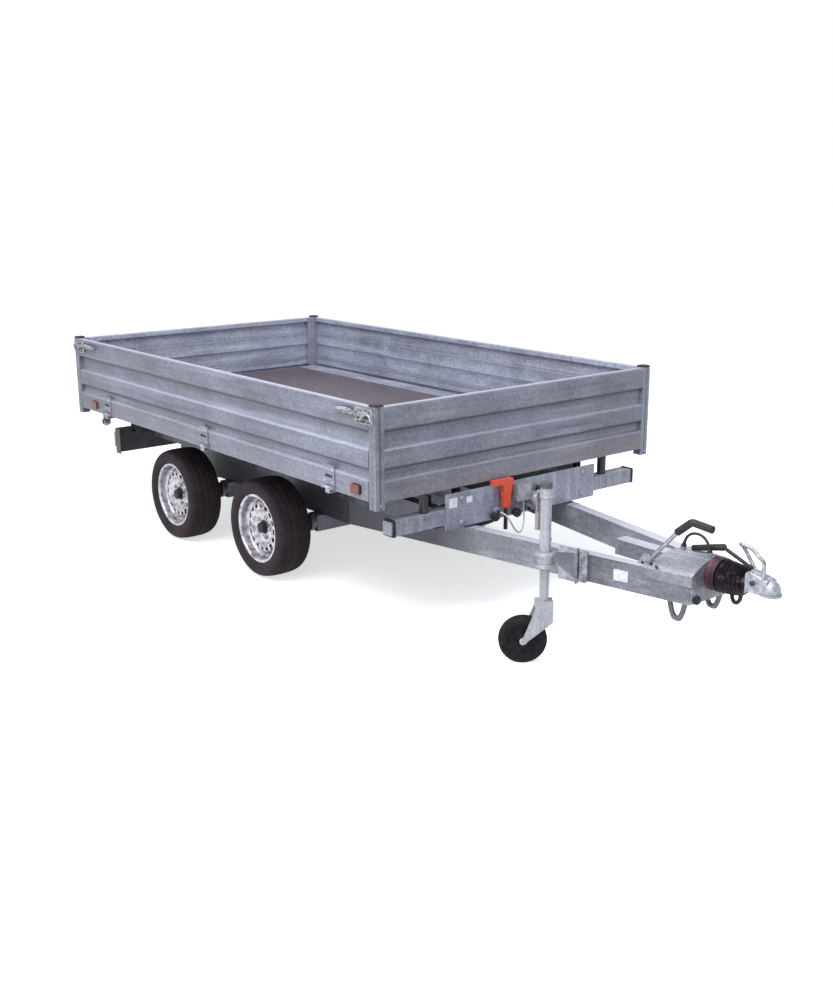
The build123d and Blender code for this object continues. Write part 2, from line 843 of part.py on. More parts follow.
beam_inner_y = beam_outer_y - beam_section_width
slope = (beam_outer_y - arm_front_outer_y) / (arm_front_from_rear - bend_from_rear)
arm_width_across = beam_section_width * sqrt(1 + slope**2)
bend_inner_from_rear = bend_from_rear - (arm_width_across - beam_section_width) / slope
beam_top = beam_bottom_z + beam_section_height
rail_top = beam_top + rail_section_height


def beam_outline(sign, inset, overrun):
    """Plan of a beam that runs straight under the bed and then in to the coupling."""
    low = inset * sqrt(1 + slope**2)
    rear_x = from_rear(beam_rear_from_rear) - overrun
    front_x = from_rear(arm_front_from_rear) + overrun
    front_outer = arm_front_outer_y - slope * overrun
    bend_outer = beam_outer_y - inset
    bend_inner = beam_inner_y + inset
    bend_outer_x = from_rear(bend_from_rear) - (low - inset) / slope
    bend_inner_x = from_rear(bend_inner_from_rear) + (low - inset) / slope
    return (
        (rear_x, sign * bend_outer),
        (bend_outer_x, sign * bend_outer),
        (front_x, sign * (front_outer - low)),
        (front_x, sign * (front_outer - arm_width_across + low)),
        (bend_inner_x, sign * bend_inner),
        (rear_x, sign * bend_inner),
    )


def arm_outer(distance):
    """Half the width over the drawbar's arms at this distance."""
    return arm_front_outer_y + slope * (arm_front_from_rear - distance)


def arm_inner(distance):
    """Half the width left between the drawbar's arms at this distance."""
    return arm_outer(distance) - arm_width_across


front_plate_x = from_rear(front_member_from_rear) + front_member_size / 2
plate_face_x = front_plate_x + front_plate_thickness
hose_end_x = plate_face_x + plate_hose_route[-1][0]
hose_end_y, hose_end_z = plate_hose_route[-1][1:]
hose_gland_wall_y = -(arm_inner(hose_end_x - from_rear(0)) + section_wall)
for side, sign in SIDES:
    with BuildPart() as drawbar_beam:
        with BuildSketch(Plane.XY.offset(beam_bottom_z)):
            with BuildLine():
                Polyline(*beam_outline(sign, 0.0, 0.0), close=True)
            make_face()
        extrude(amount=beam_section_height)
        with BuildSketch(Plane.XY.offset(beam_bottom_z + section_wall)):
            with BuildLine():
                Polyline(*beam_outline(sign, section_wall, section_wall), close=True)
            make_face()
        extrude(amount=beam_section_height - 2 * section_wall, mode=Mode.SUBTRACT)
        loop_line = [(from_nose(distance), sign * loop_y, z) for distance, z in loop_points]
        add(bent_tube(loop_line, loop_radius, loop_bend))
        if side == "right":
            with BuildSketch(Plane.XZ.offset(-hose_end_y)):
                with Locations((hose_end_x, hose_end_z)):
                    Circle(hose_gland_radius)
            extrude(amount=-(hose_gland_wall_y - hose_end_y))
    write(drawbar_beam.part, f"drawbar_beam_{side}")

rail_rear_end = from_rear(rear_member_from_rear) + rear_member_size / 2
rail_front_end = from_rear(front_member_from_rear) - front_member_size / 2
with BuildPart() as chassis_rails:
    for sign in (-1, 1):
        with BuildSketch(Plane.YZ.offset(rail_rear_end)):
            rail_mid_z = beam_top + rail_section_height / 2
            with Locations((sign * (beam_outer_y - beam_section_width / 2), rail_mid_z)):
                Rectangle(beam_section_width, rail_section_height)
                Rectangle(
                    beam_section_width - 2 * section_wall,
                    rail_section_height - 2 * section_wall,
                    mode=Mode.SUBTRACT,
                )
        extrude(amount=rail_front_end - rail_rear_end)
write(chassis_rails.part, "chassis_rails")

member_mid_z = rail_top - member_height / 2 - member_below_rail
with BuildPart() as cross_members:
    for distance in (*member_from_rear, *cradle_member_from_rear):
        with BuildSketch(Plane.XZ.offset(-beam_inner_y)):
            with Locations((from_rear(distance), member_mid_z)):
                Rectangle(member_width, member_height)
                hollow_width = member_width - 2 * section_wall
                Rectangle(hollow_width, member_height - 2 * section_wall, mode=Mode.SUBTRACT)
        extrude(amount=2 * beam_inner_y)
    cradle_rear_x = from_rear(cradle_member_from_rear[0]) + member_width / 2
    cradle_front_x = from_rear(cradle_member_from_rear[1]) - member_width / 2
    for sign in (-1, 1):
        inner_y = sign * cradle_inner_y
        with BuildSketch(Plane.XZ.offset(-inner_y)):
            with Locations(((cradle_rear_x + cradle_front_x) / 2, member_mid_z - cradle_extra_depth / 2)):
                Rectangle(cradle_front_x - cradle_rear_x, member_height + cradle_extra_depth)
            with Locations((head_x, trunnion_z)):
                Circle(trunnion_radius + trunnion_clearance, mode=Mode.SUBTRACT)
        extrude(amount=-sign * cradle_plate)
write(cross_members.part, "cross_members")

rear_member_x = from_rear(rear_member_from_rear)
rear_member_mid_z = rail_top - rear_member_size / 2
pivot_x = from_rear(pivot_from_rear)
with BuildPart() as rear_cross_member:
    with BuildSketch(Plane.XZ.offset(-rear_member_half)):
        with Locations((rear_member_x, rear_member_mid_z)):
            Rectangle(rear_member_size, rear_member_size)
            hollow = rear_member_size - 2 * section_wall
            Rectangle(hollow, hollow, mode=Mode.SUBTRACT)
    extrude(amount=2 * rear_member_half)
    for sign in (-1, 1):
        ear_low = pivot_y - pivot_ear_thickness / 2 - pivot_side_gap
        ear_high = pivot_y + pivot_ear_thickness / 2 + pivot_side_gap
        for low_y in (ear_low - pivot_lug_thickness, ear_high):
            with BuildSketch(Plane.XZ.offset(-sign * low_y)):
                with BuildLine():
                    Polyline(
                        (pivot_x - pivot_eye_radius, pivot_z),
                        (pivot_x + pivot_eye_radius, pivot_z),
                        (rear_member_x + rear_member_size / 2, rear_member_mid_z),
                        (rear_member_x - rear_member_size / 2, rear_member_mid_z - rear_member_size / 2),
                        close=True,
                    )
                make_face()
                with Locations((pivot_x, pivot_z)):
                    Circle(pivot_eye_radius)
            extrude(amount=-sign * pivot_lug_thickness)
        with BuildSketch(Plane.XZ.offset(-sign * (ear_low - pivot_lug_thickness))):
            with Locations((pivot_x, pivot_z)):
                Circle(pivot_pin_radius)
        extrude(amount=-sign * (ear_high - ear_low + 2 * pivot_lug_thickness))
write(rear_cross_member.part, "rear_cross_member")

front_member_x = from_rear(front_member_from_rear)
front_plate_height = front_plate_top_z - front_plate_bottom_z
with BuildPart() as front_cross_member:
    with BuildSketch(Plane.XZ.offset(-front_member_half)):
        with Locations((front_member_x, front_member_mid_z)):
            Rectangle(front_member_size, front_member_size)
            hollow = front_member_size - 2 * section_wall
            Rectangle(hollow, hollow, mode=Mode.SUBTRACT)
    extrude(amount=2 * front_member_half)
    for sign in (-1, 1):
        with BuildSketch(Plane.XZ.offset(-sign * (front_member_half + arm_ring_length))):
            with Locations((front_member_x, front_member_mid_z)):
                cap_size = front_member_size - 2 * arm_ring_margin
                RectangleRounded(cap_size, cap_size, arm_cap_corner)
        extrude(amount=-sign * arm_cap_length)
        with BuildSketch(Plane.XZ.offset(-sign * (front_member_half - section_wall))):
            with Locations((front_member_x, front_member_mid_z)):
                Rectangle(front_member_size, front_member_size)
        extrude(amount=-sign * section_wall)
        with BuildSketch(Plane.XZ.offset(-sign * front_member_half)):
            with Locations((front_member_x, front_member_mid_z)):
                Circle(front_member_size / 4)
        extrude(amount=-sign * arm_ring_length)
    with BuildSketch(Plane.YZ.offset(front_plate_x)):
        with Locations((0, (front_plate_top_z + front_plate_bottom_z) / 2)):
            Rectangle(2 * front_plate_half, front_plate_height)
    extrude(amount=front_plate_thickness)
    with BuildSketch(Plane.YZ.offset(plate_face_x)):
        with Locations(*gland_spots):
            Circle(gland_radius)
    extrude(amount=gland_length)
write(front_cross_member.part, "front_cross_member")

with BuildPart() as arm_end_rings:
    for sign in (-1, 1):
        with BuildSketch(Plane.XZ.offset(-sign * front_member_half)):
            with Locations((front_member_x, front_member_mid_z)):
                ring_size = front_member_size + 2 * arm_ring_margin
                RectangleRounded(ring_size, ring_size, arm_ring_corner)
                Circle(front_member_size / 4, mode=Mode.SUBTRACT)
        extrude(amount=-sign * arm_ring_length)
write(arm_end_rings.part, "arm_end_rings")

# Rubber buffers that the bed rests on: on the chassis rails and under its front edge
rail_mid_y = beam_outer_y - beam_section_width / 2
front_member_top_z = front_member_mid_z + front_member_size / 2
with BuildPart() as buffers:
    for distance in buffer_from_rear:
        with BuildSketch(Plane.XY.offset(rail_top)):
            with Locations((from_rear(distance), -rail_mid_y), (from_rear(distance), rail_mid_y)):
                Circle(buffer_radius)
        extrude(amount=beam_top_z - beam_height - rail_top - buffer_gap)
    with BuildSketch(Plane.XY.offset(front_member_top_z)):
        with Locations((front_member_x, -front_buffer_y), (front_member_x, front_buffer_y)):
            Circle(buffer_radius)
    extrude(amount=rail_bottom_z - front_member_top_z - buffer_gap)
write(buffers.part, "bed_buffers")

# Axles: square tube, trailing torsion arms, backplates and spindles

backplate_outer_y = wheel_y + disc_y_offset - drum_length - backplate_gap
torsion_low_y = backplate_outer_y - backplate_thickness - torsion_arm_thickness
tube_end_y = torsion_low_y
axle_top_z = beam_bottom_z

for name, distance in axle_from_rear:
    wheel_x = from_rear(distance)
    tube_x = wheel_x + torsion_arm_length
    tube_z = axle_top_z - axle_tube / 2
    with BuildPart() as axle:
        with BuildSketch(Plane.XZ.offset(-tube_end_y)):
            with Locations((tube_x, tube_z)):
                Rectangle(axle_tube, axle_tube)
                hollow = axle_tube - 2 * section_wall
                Rectangle(hollow, hollow, mode=Mode.SUBTRACT)
        extrude(amount=2 * tube_end_y)
        for sign in (-1, 1):
            with BuildSketch(Plane.XZ.offset(-sign * torsion_low_y)):
                with BuildLine():
                    Polyline(
                        (tube_x, tube_z + axle_tube / 2),
                        (tube_x, tube_z - axle_tube / 2),
                        (wheel_x, tyre_radius - axle_tube / 3),
                        (wheel_x, tyre_radius + axle_tube / 3),
                        close=True,
                    )
                make_face()
                with Locations((tube_x, tube_z)):
                    Circle(axle_tube / 2)
                with Locations((wheel_x, tyre_radius)):
                    Circle(axle_tube / 3)
            extrude(amount=-sign * torsion_arm_thickness)
            with BuildSketch(Plane.XZ.offset(-sign * (torsion_low_y + torsion_arm_thickness))):
                with Locations((wheel_x, tyre_radius)):
                    Circle(backplate_radius)
            extrude(amount=-sign * backplate_thickness)
            with BuildSketch(Plane.XZ.offset(-sign * backplate_outer_y)):
                with Locations((wheel_x, tyre_radius)):
                    Circle(spindle_radius)
            extrude(amount=-sign * spindle_length)
    write(axle.part, f"axle_{name}")

# Road wheels: tyre, and steel rim with hub cap and brake drum

disc_face_y = wheel_y + disc_y_offset
for name, distance in axle_from_rear:
    for side, sign in SIDES:
        wheel_x = from_rear(distance)
        tyre_plane = Plane(origin=(wheel_x, sign * wheel_y, tyre_radius), x_dir=(1, 0, 0), z_dir=(0, -1, 0))
        with BuildPart() as tyre:
            with BuildSketch(Plane(origin=tyre_plane.origin, x_dir=(0, 1, 0), z_dir=(1, 0, 0))):
                with BuildLine():
                    Polyline(
                        (-tyre_bead_half, tyre_flange_radius),
                        (-tyre_bead_half, tyre_bead_radius),
                        (tyre_bead_half, tyre_bead_radius),
                        (tyre_bead_half, tyre_flange_radius),
                    )
                    ThreePointArc(
                        (tyre_bead_half, tyre_flange_radius),
                        (tyre_half_width, tyre_wall_radius),
                        (tyre_tread_half, tyre_shoulder_radius),
                    )
                    ThreePointArc(
                        (tyre_tread_half, tyre_shoulder_radius),
                        (0, tyre_radius),
                        (-tyre_tread_half, tyre_shoulder_radius),
                    )
                    ThreePointArc(
                        (-tyre_tread_half, tyre_shoulder_radius),
                        (-tyre_half_width, tyre_wall_radius),
                        (-tyre_bead_half, tyre_flange_radius),
                    )
                make_face()
            revolve(axis=Axis((wheel_x, sign * wheel_y, tyre_radius), (0, 1, 0)))
        write(tyre.part, f"tyre_{name}_{side}")

        with BuildPart() as wheel:
            with BuildSketch(Plane(origin=tyre_plane.origin, x_dir=(0, sign, 0), z_dir=(sign, 0, 0))):
                with BuildLine():
                    Polyline(*rim_section, close=True)
                make_face()
            revolve(axis=Axis((wheel_x, sign * wheel_y, tyre_radius), (0, 1, 0)))
            with BuildSketch(Plane(origin=tyre_plane.origin, x_dir=(0, sign, 0), z_dir=(sign, 0, 0))):
                with BuildLine():
                    Polyline(*[(disc_y_offset + out, radius) for out, radius in disc_section], close=True)
                make_face()
            revolve(axis=Axis((wheel_x, sign * wheel_y, tyre_radius), (0, 1, 0)))
            with BuildSketch(Plane.XZ.offset(-sign * disc_face_y)):
                with Locations((wheel_x, tyre_radius)):
                    with PolarLocations(vent_circle, vent_count):
                        Circle(vent_radius)
            extrude(amount=-sign * hub_cap_length, mode=Mode.SUBTRACT)
            with BuildSketch(Plane.XZ.offset(-sign * disc_face_y)):
                with Locations((wheel_x, tyre_radius)):
                    Circle(drum_neck_radius)
            extrude(amount=sign * drum_step)
            with BuildSketch(Plane.XZ.offset(-sign * (disc_face_y - drum_step))):
                with Locations((wheel_x, tyre_radius)):
                    Circle(drum_radius)
            extrude(amount=sign * (drum_length - drum_step))
            with BuildSketch(Plane.XZ.offset(-sign * (disc_face_y - drum_length))):
                with Locations((wheel_x, tyre_radius)):
                    Circle(spindle_radius + spindle_clearance)
            extrude(amount=-sign * (spindle_length - backplate_gap + spindle_end_gap), mode=Mode.SUBTRACT)
        write(wheel.part, f"wheel_{name}_{side}")

# Telescopic cylinder: barrel hung in its cradle, stages nested in it, ball on the last one

stage_radii = [barrel_radius - stage_wall - stage_clearance]
for index in range(stage_count - 1):
    stage_radii.append(stage_radii[-1] - stage_wall - stage_clearance)

with BuildPart() as barrel:
    with BuildSketch(Plane.XY.offset(barrel_bottom_z)):
        with Locations((head_x, 0)):
            Circle(barrel_radius)
    extrude(amount=barrel_top_z - barrel_bottom_z)
    with BuildSketch(Plane.XZ.offset(-trunnion_reach)):
        with Locations((head_x, trunnion_z)):
            Circle(trunnion_radius)
    extrude(amount=2 * trunnion_reach)
    with BuildSketch(Plane.XY.offset(barrel_bottom_z + barrel_floor)):
        with Locations((head_x, 0)):
            Circle(barrel_radius - stage_wall)
    extrude(amount=barrel_top_z - barrel_bottom_z, mode=Mode.SUBTRACT)
write(barrel.part, "cylinder_barrel")

for index, radius in enumerate(stage_radii):
    low_z = barrel_bottom_z + barrel_floor + stage_bottom_gap * (index + 1)
    high_z = barrel_top_z + stage_step * (index + 1)
    last = index == stage_count - 1
    with BuildPart() as stage:
        with BuildSketch(Plane.XY.offset(low_z)):
            with Locations((head_x, 0)):
                Circle(radius)
                if not last:
                    Circle(radius - stage_wall, mode=Mode.SUBTRACT)
        extrude(amount=high_z - low_z)
        if last:
            with BuildSketch(Plane.XY.offset(high_z)):
                with Locations((head_x, 0)):
                    Circle(ball_neck_radius)
            extrude(amount=ball_z - high_z)
            with Locations((head_x, 0, ball_z)):
                Sphere(ball_radius)
    write(stage.part, "cylinder_rod" if last else f"cylinder_stage_{index + 1}")

# Jockey wheel: clamp and outer tube on the right arm, screw leg, fork and solid wheel

jockey_x = from_rear(jockey_from_rear)
arm_face_y = -arm_outer(jockey_from_rear)
with BuildPart() as jockey_tube:
    with BuildSketch(Plane.XY.offset(jockey_tube_bottom_z)):
        with Locations((jockey_x, jockey_y)):
            Circle(jockey_tube_radius)
    extrude(amount=jockey_tube_top_z - jockey_tube_bottom_z)
    with BuildSketch(Plane.XY.offset(jockey_tube_top_z)):
        with Locations((jockey_x, jockey_y)):
            Circle(jockey_collar_radius)
    extrude(amount=jockey_cap_z - jockey_tube_top_z)
    with BuildSketch(Plane.XY.offset(jockey_tube_bottom_z)):
        with Locations((jockey_x, jockey_y)):
            Circle(clamp_radius)
    extrude(amount=clamp_height)
    bracket_end_y = arm_face_y - slope * clamp_plate
    with BuildSketch(Plane.YZ.offset(jockey_x - clamp_plate)):
        with BuildLine():
            Polyline(
                (bracket_end_y, beam_bottom_z - clamp_below_beam),
                (bracket_end_y, beam_top),
                (jockey_y, jockey_tube_bottom_z + clamp_height),
                (jockey_y, jockey_tube_bottom_z),
                (jockey_y + clamp_radius + clamp_slope_start, jockey_tube_bottom_z),
                close=True,
            )
        make_face()
    extrude(amount=clamp_plate)
    with BuildSketch(Plane.XY.offset(jockey_tube_bottom_z)):
        with Locations((jockey_x, jockey_y)):
            Circle(jockey_tube_bore)
    extrude(amount=jockey_cap_z - jockey_tube_bottom_z - clamp_plate, mode=Mode.SUBTRACT)
write(jockey_tube.part, "jockey_tube")

crank_x = jockey_x - crank_out
crank_low_z = crank_z - crank_arm_drop
with BuildPart() as jockey_crank:
    with BuildSketch(Plane.YZ.offset(crank_x)):
        with Locations((jockey_y, crank_z)):
            Circle(crank_pin_radius)
    extrude(amount=crank_out - jockey_tube_radius)
    with BuildSketch(Plane.YZ.offset(crank_x - crank_arm_thickness)):
        with Locations((jockey_y, (crank_z + crank_low_z) / 2)):
            SlotOverall(crank_arm_drop + crank_arm_width, crank_arm_width, rotation=90)
    extrude(amount=crank_arm_thickness)
    with BuildSketch(Plane.XY.offset(crank_low_z - crank_arm_width / 2)):
        with Locations((crank_x - crank_arm_thickness / 2, jockey_y)):
            Circle(crank_grip_radius)
    extrude(amount=-crank_grip_length)
write(jockey_crank.part - jockey_tube.part, "jockey_crank")

with BuildPart() as jockey_leg:
    with BuildSketch(Plane.XY.offset(jockey_head_top_z)):
        with Locations((jockey_x, jockey_y)):
            Circle(jockey_leg_radius)
    extrude(amount=jockey_leg_top_z - jockey_head_top_z)
write(jockey_leg.part, "jockey_leg")

# The fork is drawn trailing straight back and then swivelled to its stored position
fork_inner = jockey_wheel_half + fork_gap
swivel_axis = Axis((jockey_x, jockey_y, 0), (0, 0, 1))
jockey_wheel_x = jockey_x - jockey_trail
fork_top_z = jockey_head_top_z - fork_swivel_gap
with BuildPart() as fork:
    with BuildSketch(Plane.XY.offset(fork_top_z - fork_head_height)):
        with Locations((jockey_x, jockey_y)):
            Rectangle(2 * fork_head_radius, 2 * (fork_inner + fork_arm_thickness))
    extrude(amount=fork_head_height)
    for sign in (-1, 1):
        with BuildSketch(Plane.XZ.offset(-(jockey_y + sign * fork_inner))):
            with BuildLine():
                Polyline(
                    (jockey_x + fork_head_radius, fork_top_z),
                    (jockey_x + fork_head_radius, fork_top_z - fork_web_height),
                    (jockey_wheel_x, jockey_wheel_radius - fork_eye_radius),
                    (jockey_wheel_x, jockey_wheel_radius + fork_eye_radius),
                    (jockey_x - fork_head_radius, fork_top_z - fork_head_height),
                    (jockey_x - fork_head_radius, fork_top_z),
                    close=True,
                )
            make_face()
            with Locations((jockey_wheel_x, jockey_wheel_radius)):
                Circle(fork_eye_radius)
        extrude(amount=-sign * fork_arm_thickness)
    with BuildSketch(Plane.XZ.offset(-(jockey_y - fork_inner - fork_arm_thickness))):
        with Locations((jockey_wheel_x, jockey_wheel_radius)):
            Circle(jockey_axle_radius)
    extrude(amount=-2 * (fork_inner + fork_arm_thickness))
write(fork.part.rotate(swivel_axis, jockey_swivel), "jockey_fork")

with BuildPart() as jockey_wheel:
    wheel_middle = (jockey_wheel_x, jockey_y, jockey_wheel_radius)
    with BuildSketch(Plane(origin=wheel_middle, x_dir=(0, 1, 0), z_dir=(1, 0, 0))):
        with BuildLine():
            other_half = [(-distance, radius) for distance, radius in reversed(jockey_half_section)]
            Polyline(*jockey_half_section, *other_half, close=True)
        make_face()
    revolve(axis=Axis((jockey_wheel_x, jockey_y, jockey_wheel_radius), (0, 1, 0)))
write(jockey_wheel.part.rotate(swivel_axis, jockey_swivel), "jockey_wheel")

# Overrun coupling: tube between the arms, ribbed hood over them, bellows, head and levers

arm_front_x = from_rear(arm_front_from_rear)
housing_front_x = from_nose(housing_front_behind_nose)
collar_front_x = housing_front_x + collar_length
bellows_front_x = from_nose(bellows_front_behind_nose)
socket_x = from_nose(head_socket_behind_nose)
hood_rear_x = from_nose(hood_rear_behind_nose)
hood_spans = (
    (hood_rear_x, arm_outer(reach - hood_rear_behind_nose), beam_top + hood_rear_rise),
    (housing_front_x, arm_outer(reach - housing_front_behind_nose), beam_top + hood_front_rise),
)


def hood_arch(half, crown_z, low_z):
    """Closed outline of the hood's cross-section: upright sides and an arched top."""
    edge_z = beam_top + hood_sheet
    Polyline((half, edge_z), (half, low_z), (-half, low_z), (-half, edge_z))
    ThreePointArc((-half, edge_z), (0, crown_z), (half, edge_z))


tie_rear, tie_front = tie_plate_behind_nose
with BuildPart() as overrun_housing:
    with BuildSketch(Plane.YZ.offset(from_nose(overrun_tube_rear_behind_nose))):
        with Locations((0, coupling_z)):
            Rectangle(overrun_tube_size, overrun_tube_size)
            hollow = overrun_tube_size - 2 * overrun_tube_wall
            Rectangle(hollow, hollow, mode=Mode.SUBTRACT)
    extrude(amount=overrun_tube_rear_behind_nose - arm_front_behind_nose)
    for low_z, high_z in (
        (beam_top, beam_top + tie_plate_thickness),
        (beam_bottom_z - tie_plate_thickness, beam_bottom_z),
    ):
        with BuildSketch(Plane.XY.offset(low_z)):
            with BuildLine():
                rear_half = arm_outer(reach - tie_rear) - tie_plate_inset
                front_half = arm_outer(reach - tie_front) - tie_plate_inset
                Polyline(
                    (from_nose(tie_rear), rear_half),
                    (from_nose(tie_front), front_half),
                    (from_nose(tie_front), -front_half),
                    (from_nose(tie_rear), -rear_half),
                    close=True,
                )
            make_face()
        extrude(amount=high_z - low_z)
    for sign in (-1, 1):
        with BuildSketch(Plane.XZ.offset(-sign * overrun_tube_size / 2)):
            with BuildLine():
                Polyline(
                    (from_nose(tie_rear), beam_bottom_z),
                    (from_nose(tie_rear), beam_top),
                    (from_nose(tie_front), beam_top),
                    (from_nose(tie_front), beam_bottom_z),
                    close=True,
                )
            make_face()
        extrude(amount=-sign * tie_plate_thickness)
    with BuildSketch(Plane.YZ.offset(arm_front_x)):
        with Locations((0, (housing_bottom_z + beam_top) / 2)):
            Rectangle(2 * arm_outer(reach - housing_front_behind_nose), beam_top - housing_bottom_z)
    extrude(amount=housing_front_x - arm_front_x)
write(overrun_housing.part, "overrun_housing")

inner_rear_x = hood_rear_x + hood_sheet
inner_rear_half = arm_outer(reach - hood_rear_behind_nose + hood_sheet)
with BuildPart() as housing_hood:
    for x, half, crown_z in hood_spans:
        with BuildSketch(Plane.YZ.offset(x)):
            with BuildLine():
                hood_arch(half + hood_sheet, crown_z, beam_top - hood_skirt)
            make_face()
    loft()
    for share in hood_rib_shares:
        ends = []
        for x, half, crown_z in hood_spans:
            rise = crown_z - beam_top - hood_sheet
            ends.append(Vector(x, share * half, beam_top + hood_sheet + rise * (1 - share**2)))
        with BuildSketch(Plane(ends[0], z_dir=ends[1] - ends[0])):
            Circle(hood_rib_radius)
        extrude(amount=(ends[1] - ends[0]).length - hood_rib_radius)
    for x, half, crown_z in ((inner_rear_x, inner_rear_half, hood_spans[0][2]), hood_spans[1]):
        with BuildSketch(Plane.YZ.offset(x)):
            with BuildLine():
                Polyline((half, beam_top), (half, beam_bottom_z), (-half, beam_bottom_z), (-half, beam_top))
                ThreePointArc((-half, beam_top), (0, crown_z - hood_sheet), (half, beam_top))
            make_face()
    loft(mode=Mode.SUBTRACT)
    with BuildSketch(Plane.YZ.offset(hood_rear_x)):
        with Locations((0, (beam_bottom_z + beam_top) / 2)):
            Rectangle(2 * inner_rear_half + hood_sheet, beam_top - beam_bottom_z)
        with Locations((0, coupling_z)):
            opening = overrun_tube_size + 2 * hood_tube_clearance
            Rectangle(opening, opening)
    extrude(amount=hood_sheet, mode=Mode.SUBTRACT)
    with BuildSketch(Plane.YZ.offset(housing_front_x - hood_sheet)):
        with BuildLine():
            half = arm_outer(reach - housing_front_behind_nose) + hood_sheet / 2
            Polyline((half, beam_top), (-half, beam_top))
            ThreePointArc((-half, beam_top), (0, hood_spans[1][2] - hood_sheet / 2), (half, beam_top))
        make_face()
    extrude(amount=hood_sheet)
    for near, far in ((lead_route[0], lead_route[1]), (lead_route[-1], lead_route[-2])):
        seat = Vector(from_nose(near[0]), 0, near[1])
        lean = Vector(from_nose(far[0]), 0, far[1]) - seat
        with BuildSketch(Plane(seat, z_dir=lean)):
            Circle(lead_gland_radius)
        extrude(amount=-lead_gland_length)
write(housing_hood.part, "housing_hood")

lead_points = [(from_nose(distance), 0, z) for distance, z in lead_route]
write(cord(lead_points, lead_radius), "coupling_lead")

with BuildPart() as bellows_collar:
    with BuildSketch(Plane.YZ.offset(housing_front_x)):
        with Locations((0, coupling_z)):
            Circle(collar_radius)
            Circle(head_shaft_radius + bellows_clearance, mode=Mode.SUBTRACT)
    extrude(amount=collar_length)
write(bellows_collar.part, "bellows_collar")

fold_length = (bellows_front_x - collar_front_x) / bellows_folds
bellows_bore = head_shaft_radius + bellows_clearance
bellows_outline = [(collar_front_x, bellows_bore)]
for index in range(bellows_folds):
    share = index / (bellows_folds - 1)
    crest = bellows_front_radius + (bellows_rear_radius - bellows_front_radius) * sqrt(1 - share**2)
    start = collar_front_x + index * fold_length
    bellows_outline += [(start, crest - bellows_fold_depth), (start + fold_length / 2, crest)]
bellows_outline += [
    (bellows_front_x, bellows_front_radius - bellows_fold_depth),
    (bellows_front_x, bellows_bore),
]
with BuildPart() as bellows:
    with BuildSketch(Plane(origin=(0, 0, coupling_z), x_dir=(1, 0, 0), z_dir=(0, -1, 0))):
        with BuildLine():
            Polyline(*bellows_outline, close=True)
        make_face()
    revolve(axis=Axis((0, 0, coupling_z), (1, 0, 0)))
write(bellows.part, "bellows")

crown_x = from_nose(head_crown_behind_nose)
dome_top_z = head_bottom_z + head_dome_height
with BuildPart() as coupling_head:
    with BuildSketch(Plane.XZ.offset(-head_rear_half_width)):
        with BuildLine():
            Polyline(
                (bellows_front_x, head_rear_bottom_z),
                (bellows_front_x, head_rear_top_z),
                (crown_x, head_crown_z),
                (socket_x, dome_top_z),
                (socket_x, head_bottom_z),
                (crown_x, head_bottom_z),
                close=True,
            )
        make_face()
    extrude(amount=2 * head_rear_half_width)
    top_edges = [
        edge
        for edge in coupling_head.edges()
        if edge.length > head_edge_radius and edge.center().Z > dome_top_z and abs(edge.center().Y) > 1
    ]
    fillet(top_edges, radius=head_edge_radius)
    with BuildSketch(Plane(origin=(socket_x, 0, 0), x_dir=(1, 0, 0), z_dir=(0, -1, 0))):
        with BuildLine():
            lip = head_socket_behind_nose
            Polyline(
                (0, dome_top_z),
                (0, head_bottom_z),
                (lip, head_bottom_z),
                (lip, head_bottom_z + head_lip_height),
                (head_dome_radius, head_bottom_z + head_lip_height),
            )
            ThreePointArc(
                (head_dome_radius, head_bottom_z + head_lip_height),
                (head_dome_shoulder[0], head_bottom_z + head_dome_shoulder[1]),
                (0, dome_top_z),
            )
        make_face()
    revolve(axis=Axis((socket_x, 0, 0), (0, 0, 1)))
    with BuildSketch(Plane.YZ.offset(housing_front_x)):
        with Locations((0, coupling_z)):
            Circle(head_shaft_radius)
    extrude(amount=bellows_front_x - housing_front_x)
    with BuildSketch(Plane.XY.offset(head_bottom_z)):
        with Locations((socket_x, 0)):
            Circle(head_socket_radius)
    extrude(amount=head_socket_depth, mode=Mode.SUBTRACT)
    with Locations((socket_x, 0, head_bottom_z + head_socket_depth)):
        Sphere(head_socket_radius, mode=Mode.SUBTRACT)
write(coupling_head.part, "coupling_head")

handle_line = [(from_nose(distance), -handle_half, z) for distance, z in handle_right]
handle_line += [(from_nose(distance), handle_half, z) for distance, z in handle_left]
coupling_handle = bent_tube(handle_line, handle_radius, handle_bend) - coupling_head.part
write(coupling_handle, "coupling_handle")

bar_front, bar_knee, bar_rear = [Vector(from_nose(distance), y, z) for distance, y, z in bar_points]
with BuildPart() as coupling_bar:
    with BuildSketch(Plane(bar_front, z_dir=bar_knee - bar_front)):
        Circle(bar_radius)
    extrude(amount=(bar_knee - bar_front).length)
    with Locations(bar_knee):
        Sphere(bar_grip_radius)
    with BuildSketch(Plane(bar_knee, z_dir=bar_rear - bar_knee)):
        Circle(bar_grip_radius)
    extrude(amount=(bar_rear - bar_knee).length, taper=bar_grip_taper)
write(coupling_bar.part, "coupling_bar")

rod_low, rod_high = [Vector(from_nose(distance), lever_y, z) for distance, z in lever_rod]
with BuildPart() as handbrake_lever:
    with BuildSketch(Plane.XZ.offset(-lever_y - lever_bracket_thickness / 2)):
        with BuildLine():
            Polyline(*[(from_nose(distance), z) for distance, z in lever_bracket], close=True)
        make_face()
    extrude(amount=lever_bracket_thickness)
    with BuildSketch(Plane(rod_low, z_dir=rod_high - rod_low)):
        Circle(lever_radius)
    extrude(amount=(rod_high - rod_low).length)
write(handbrake_lever.part, "handbrake_lever")

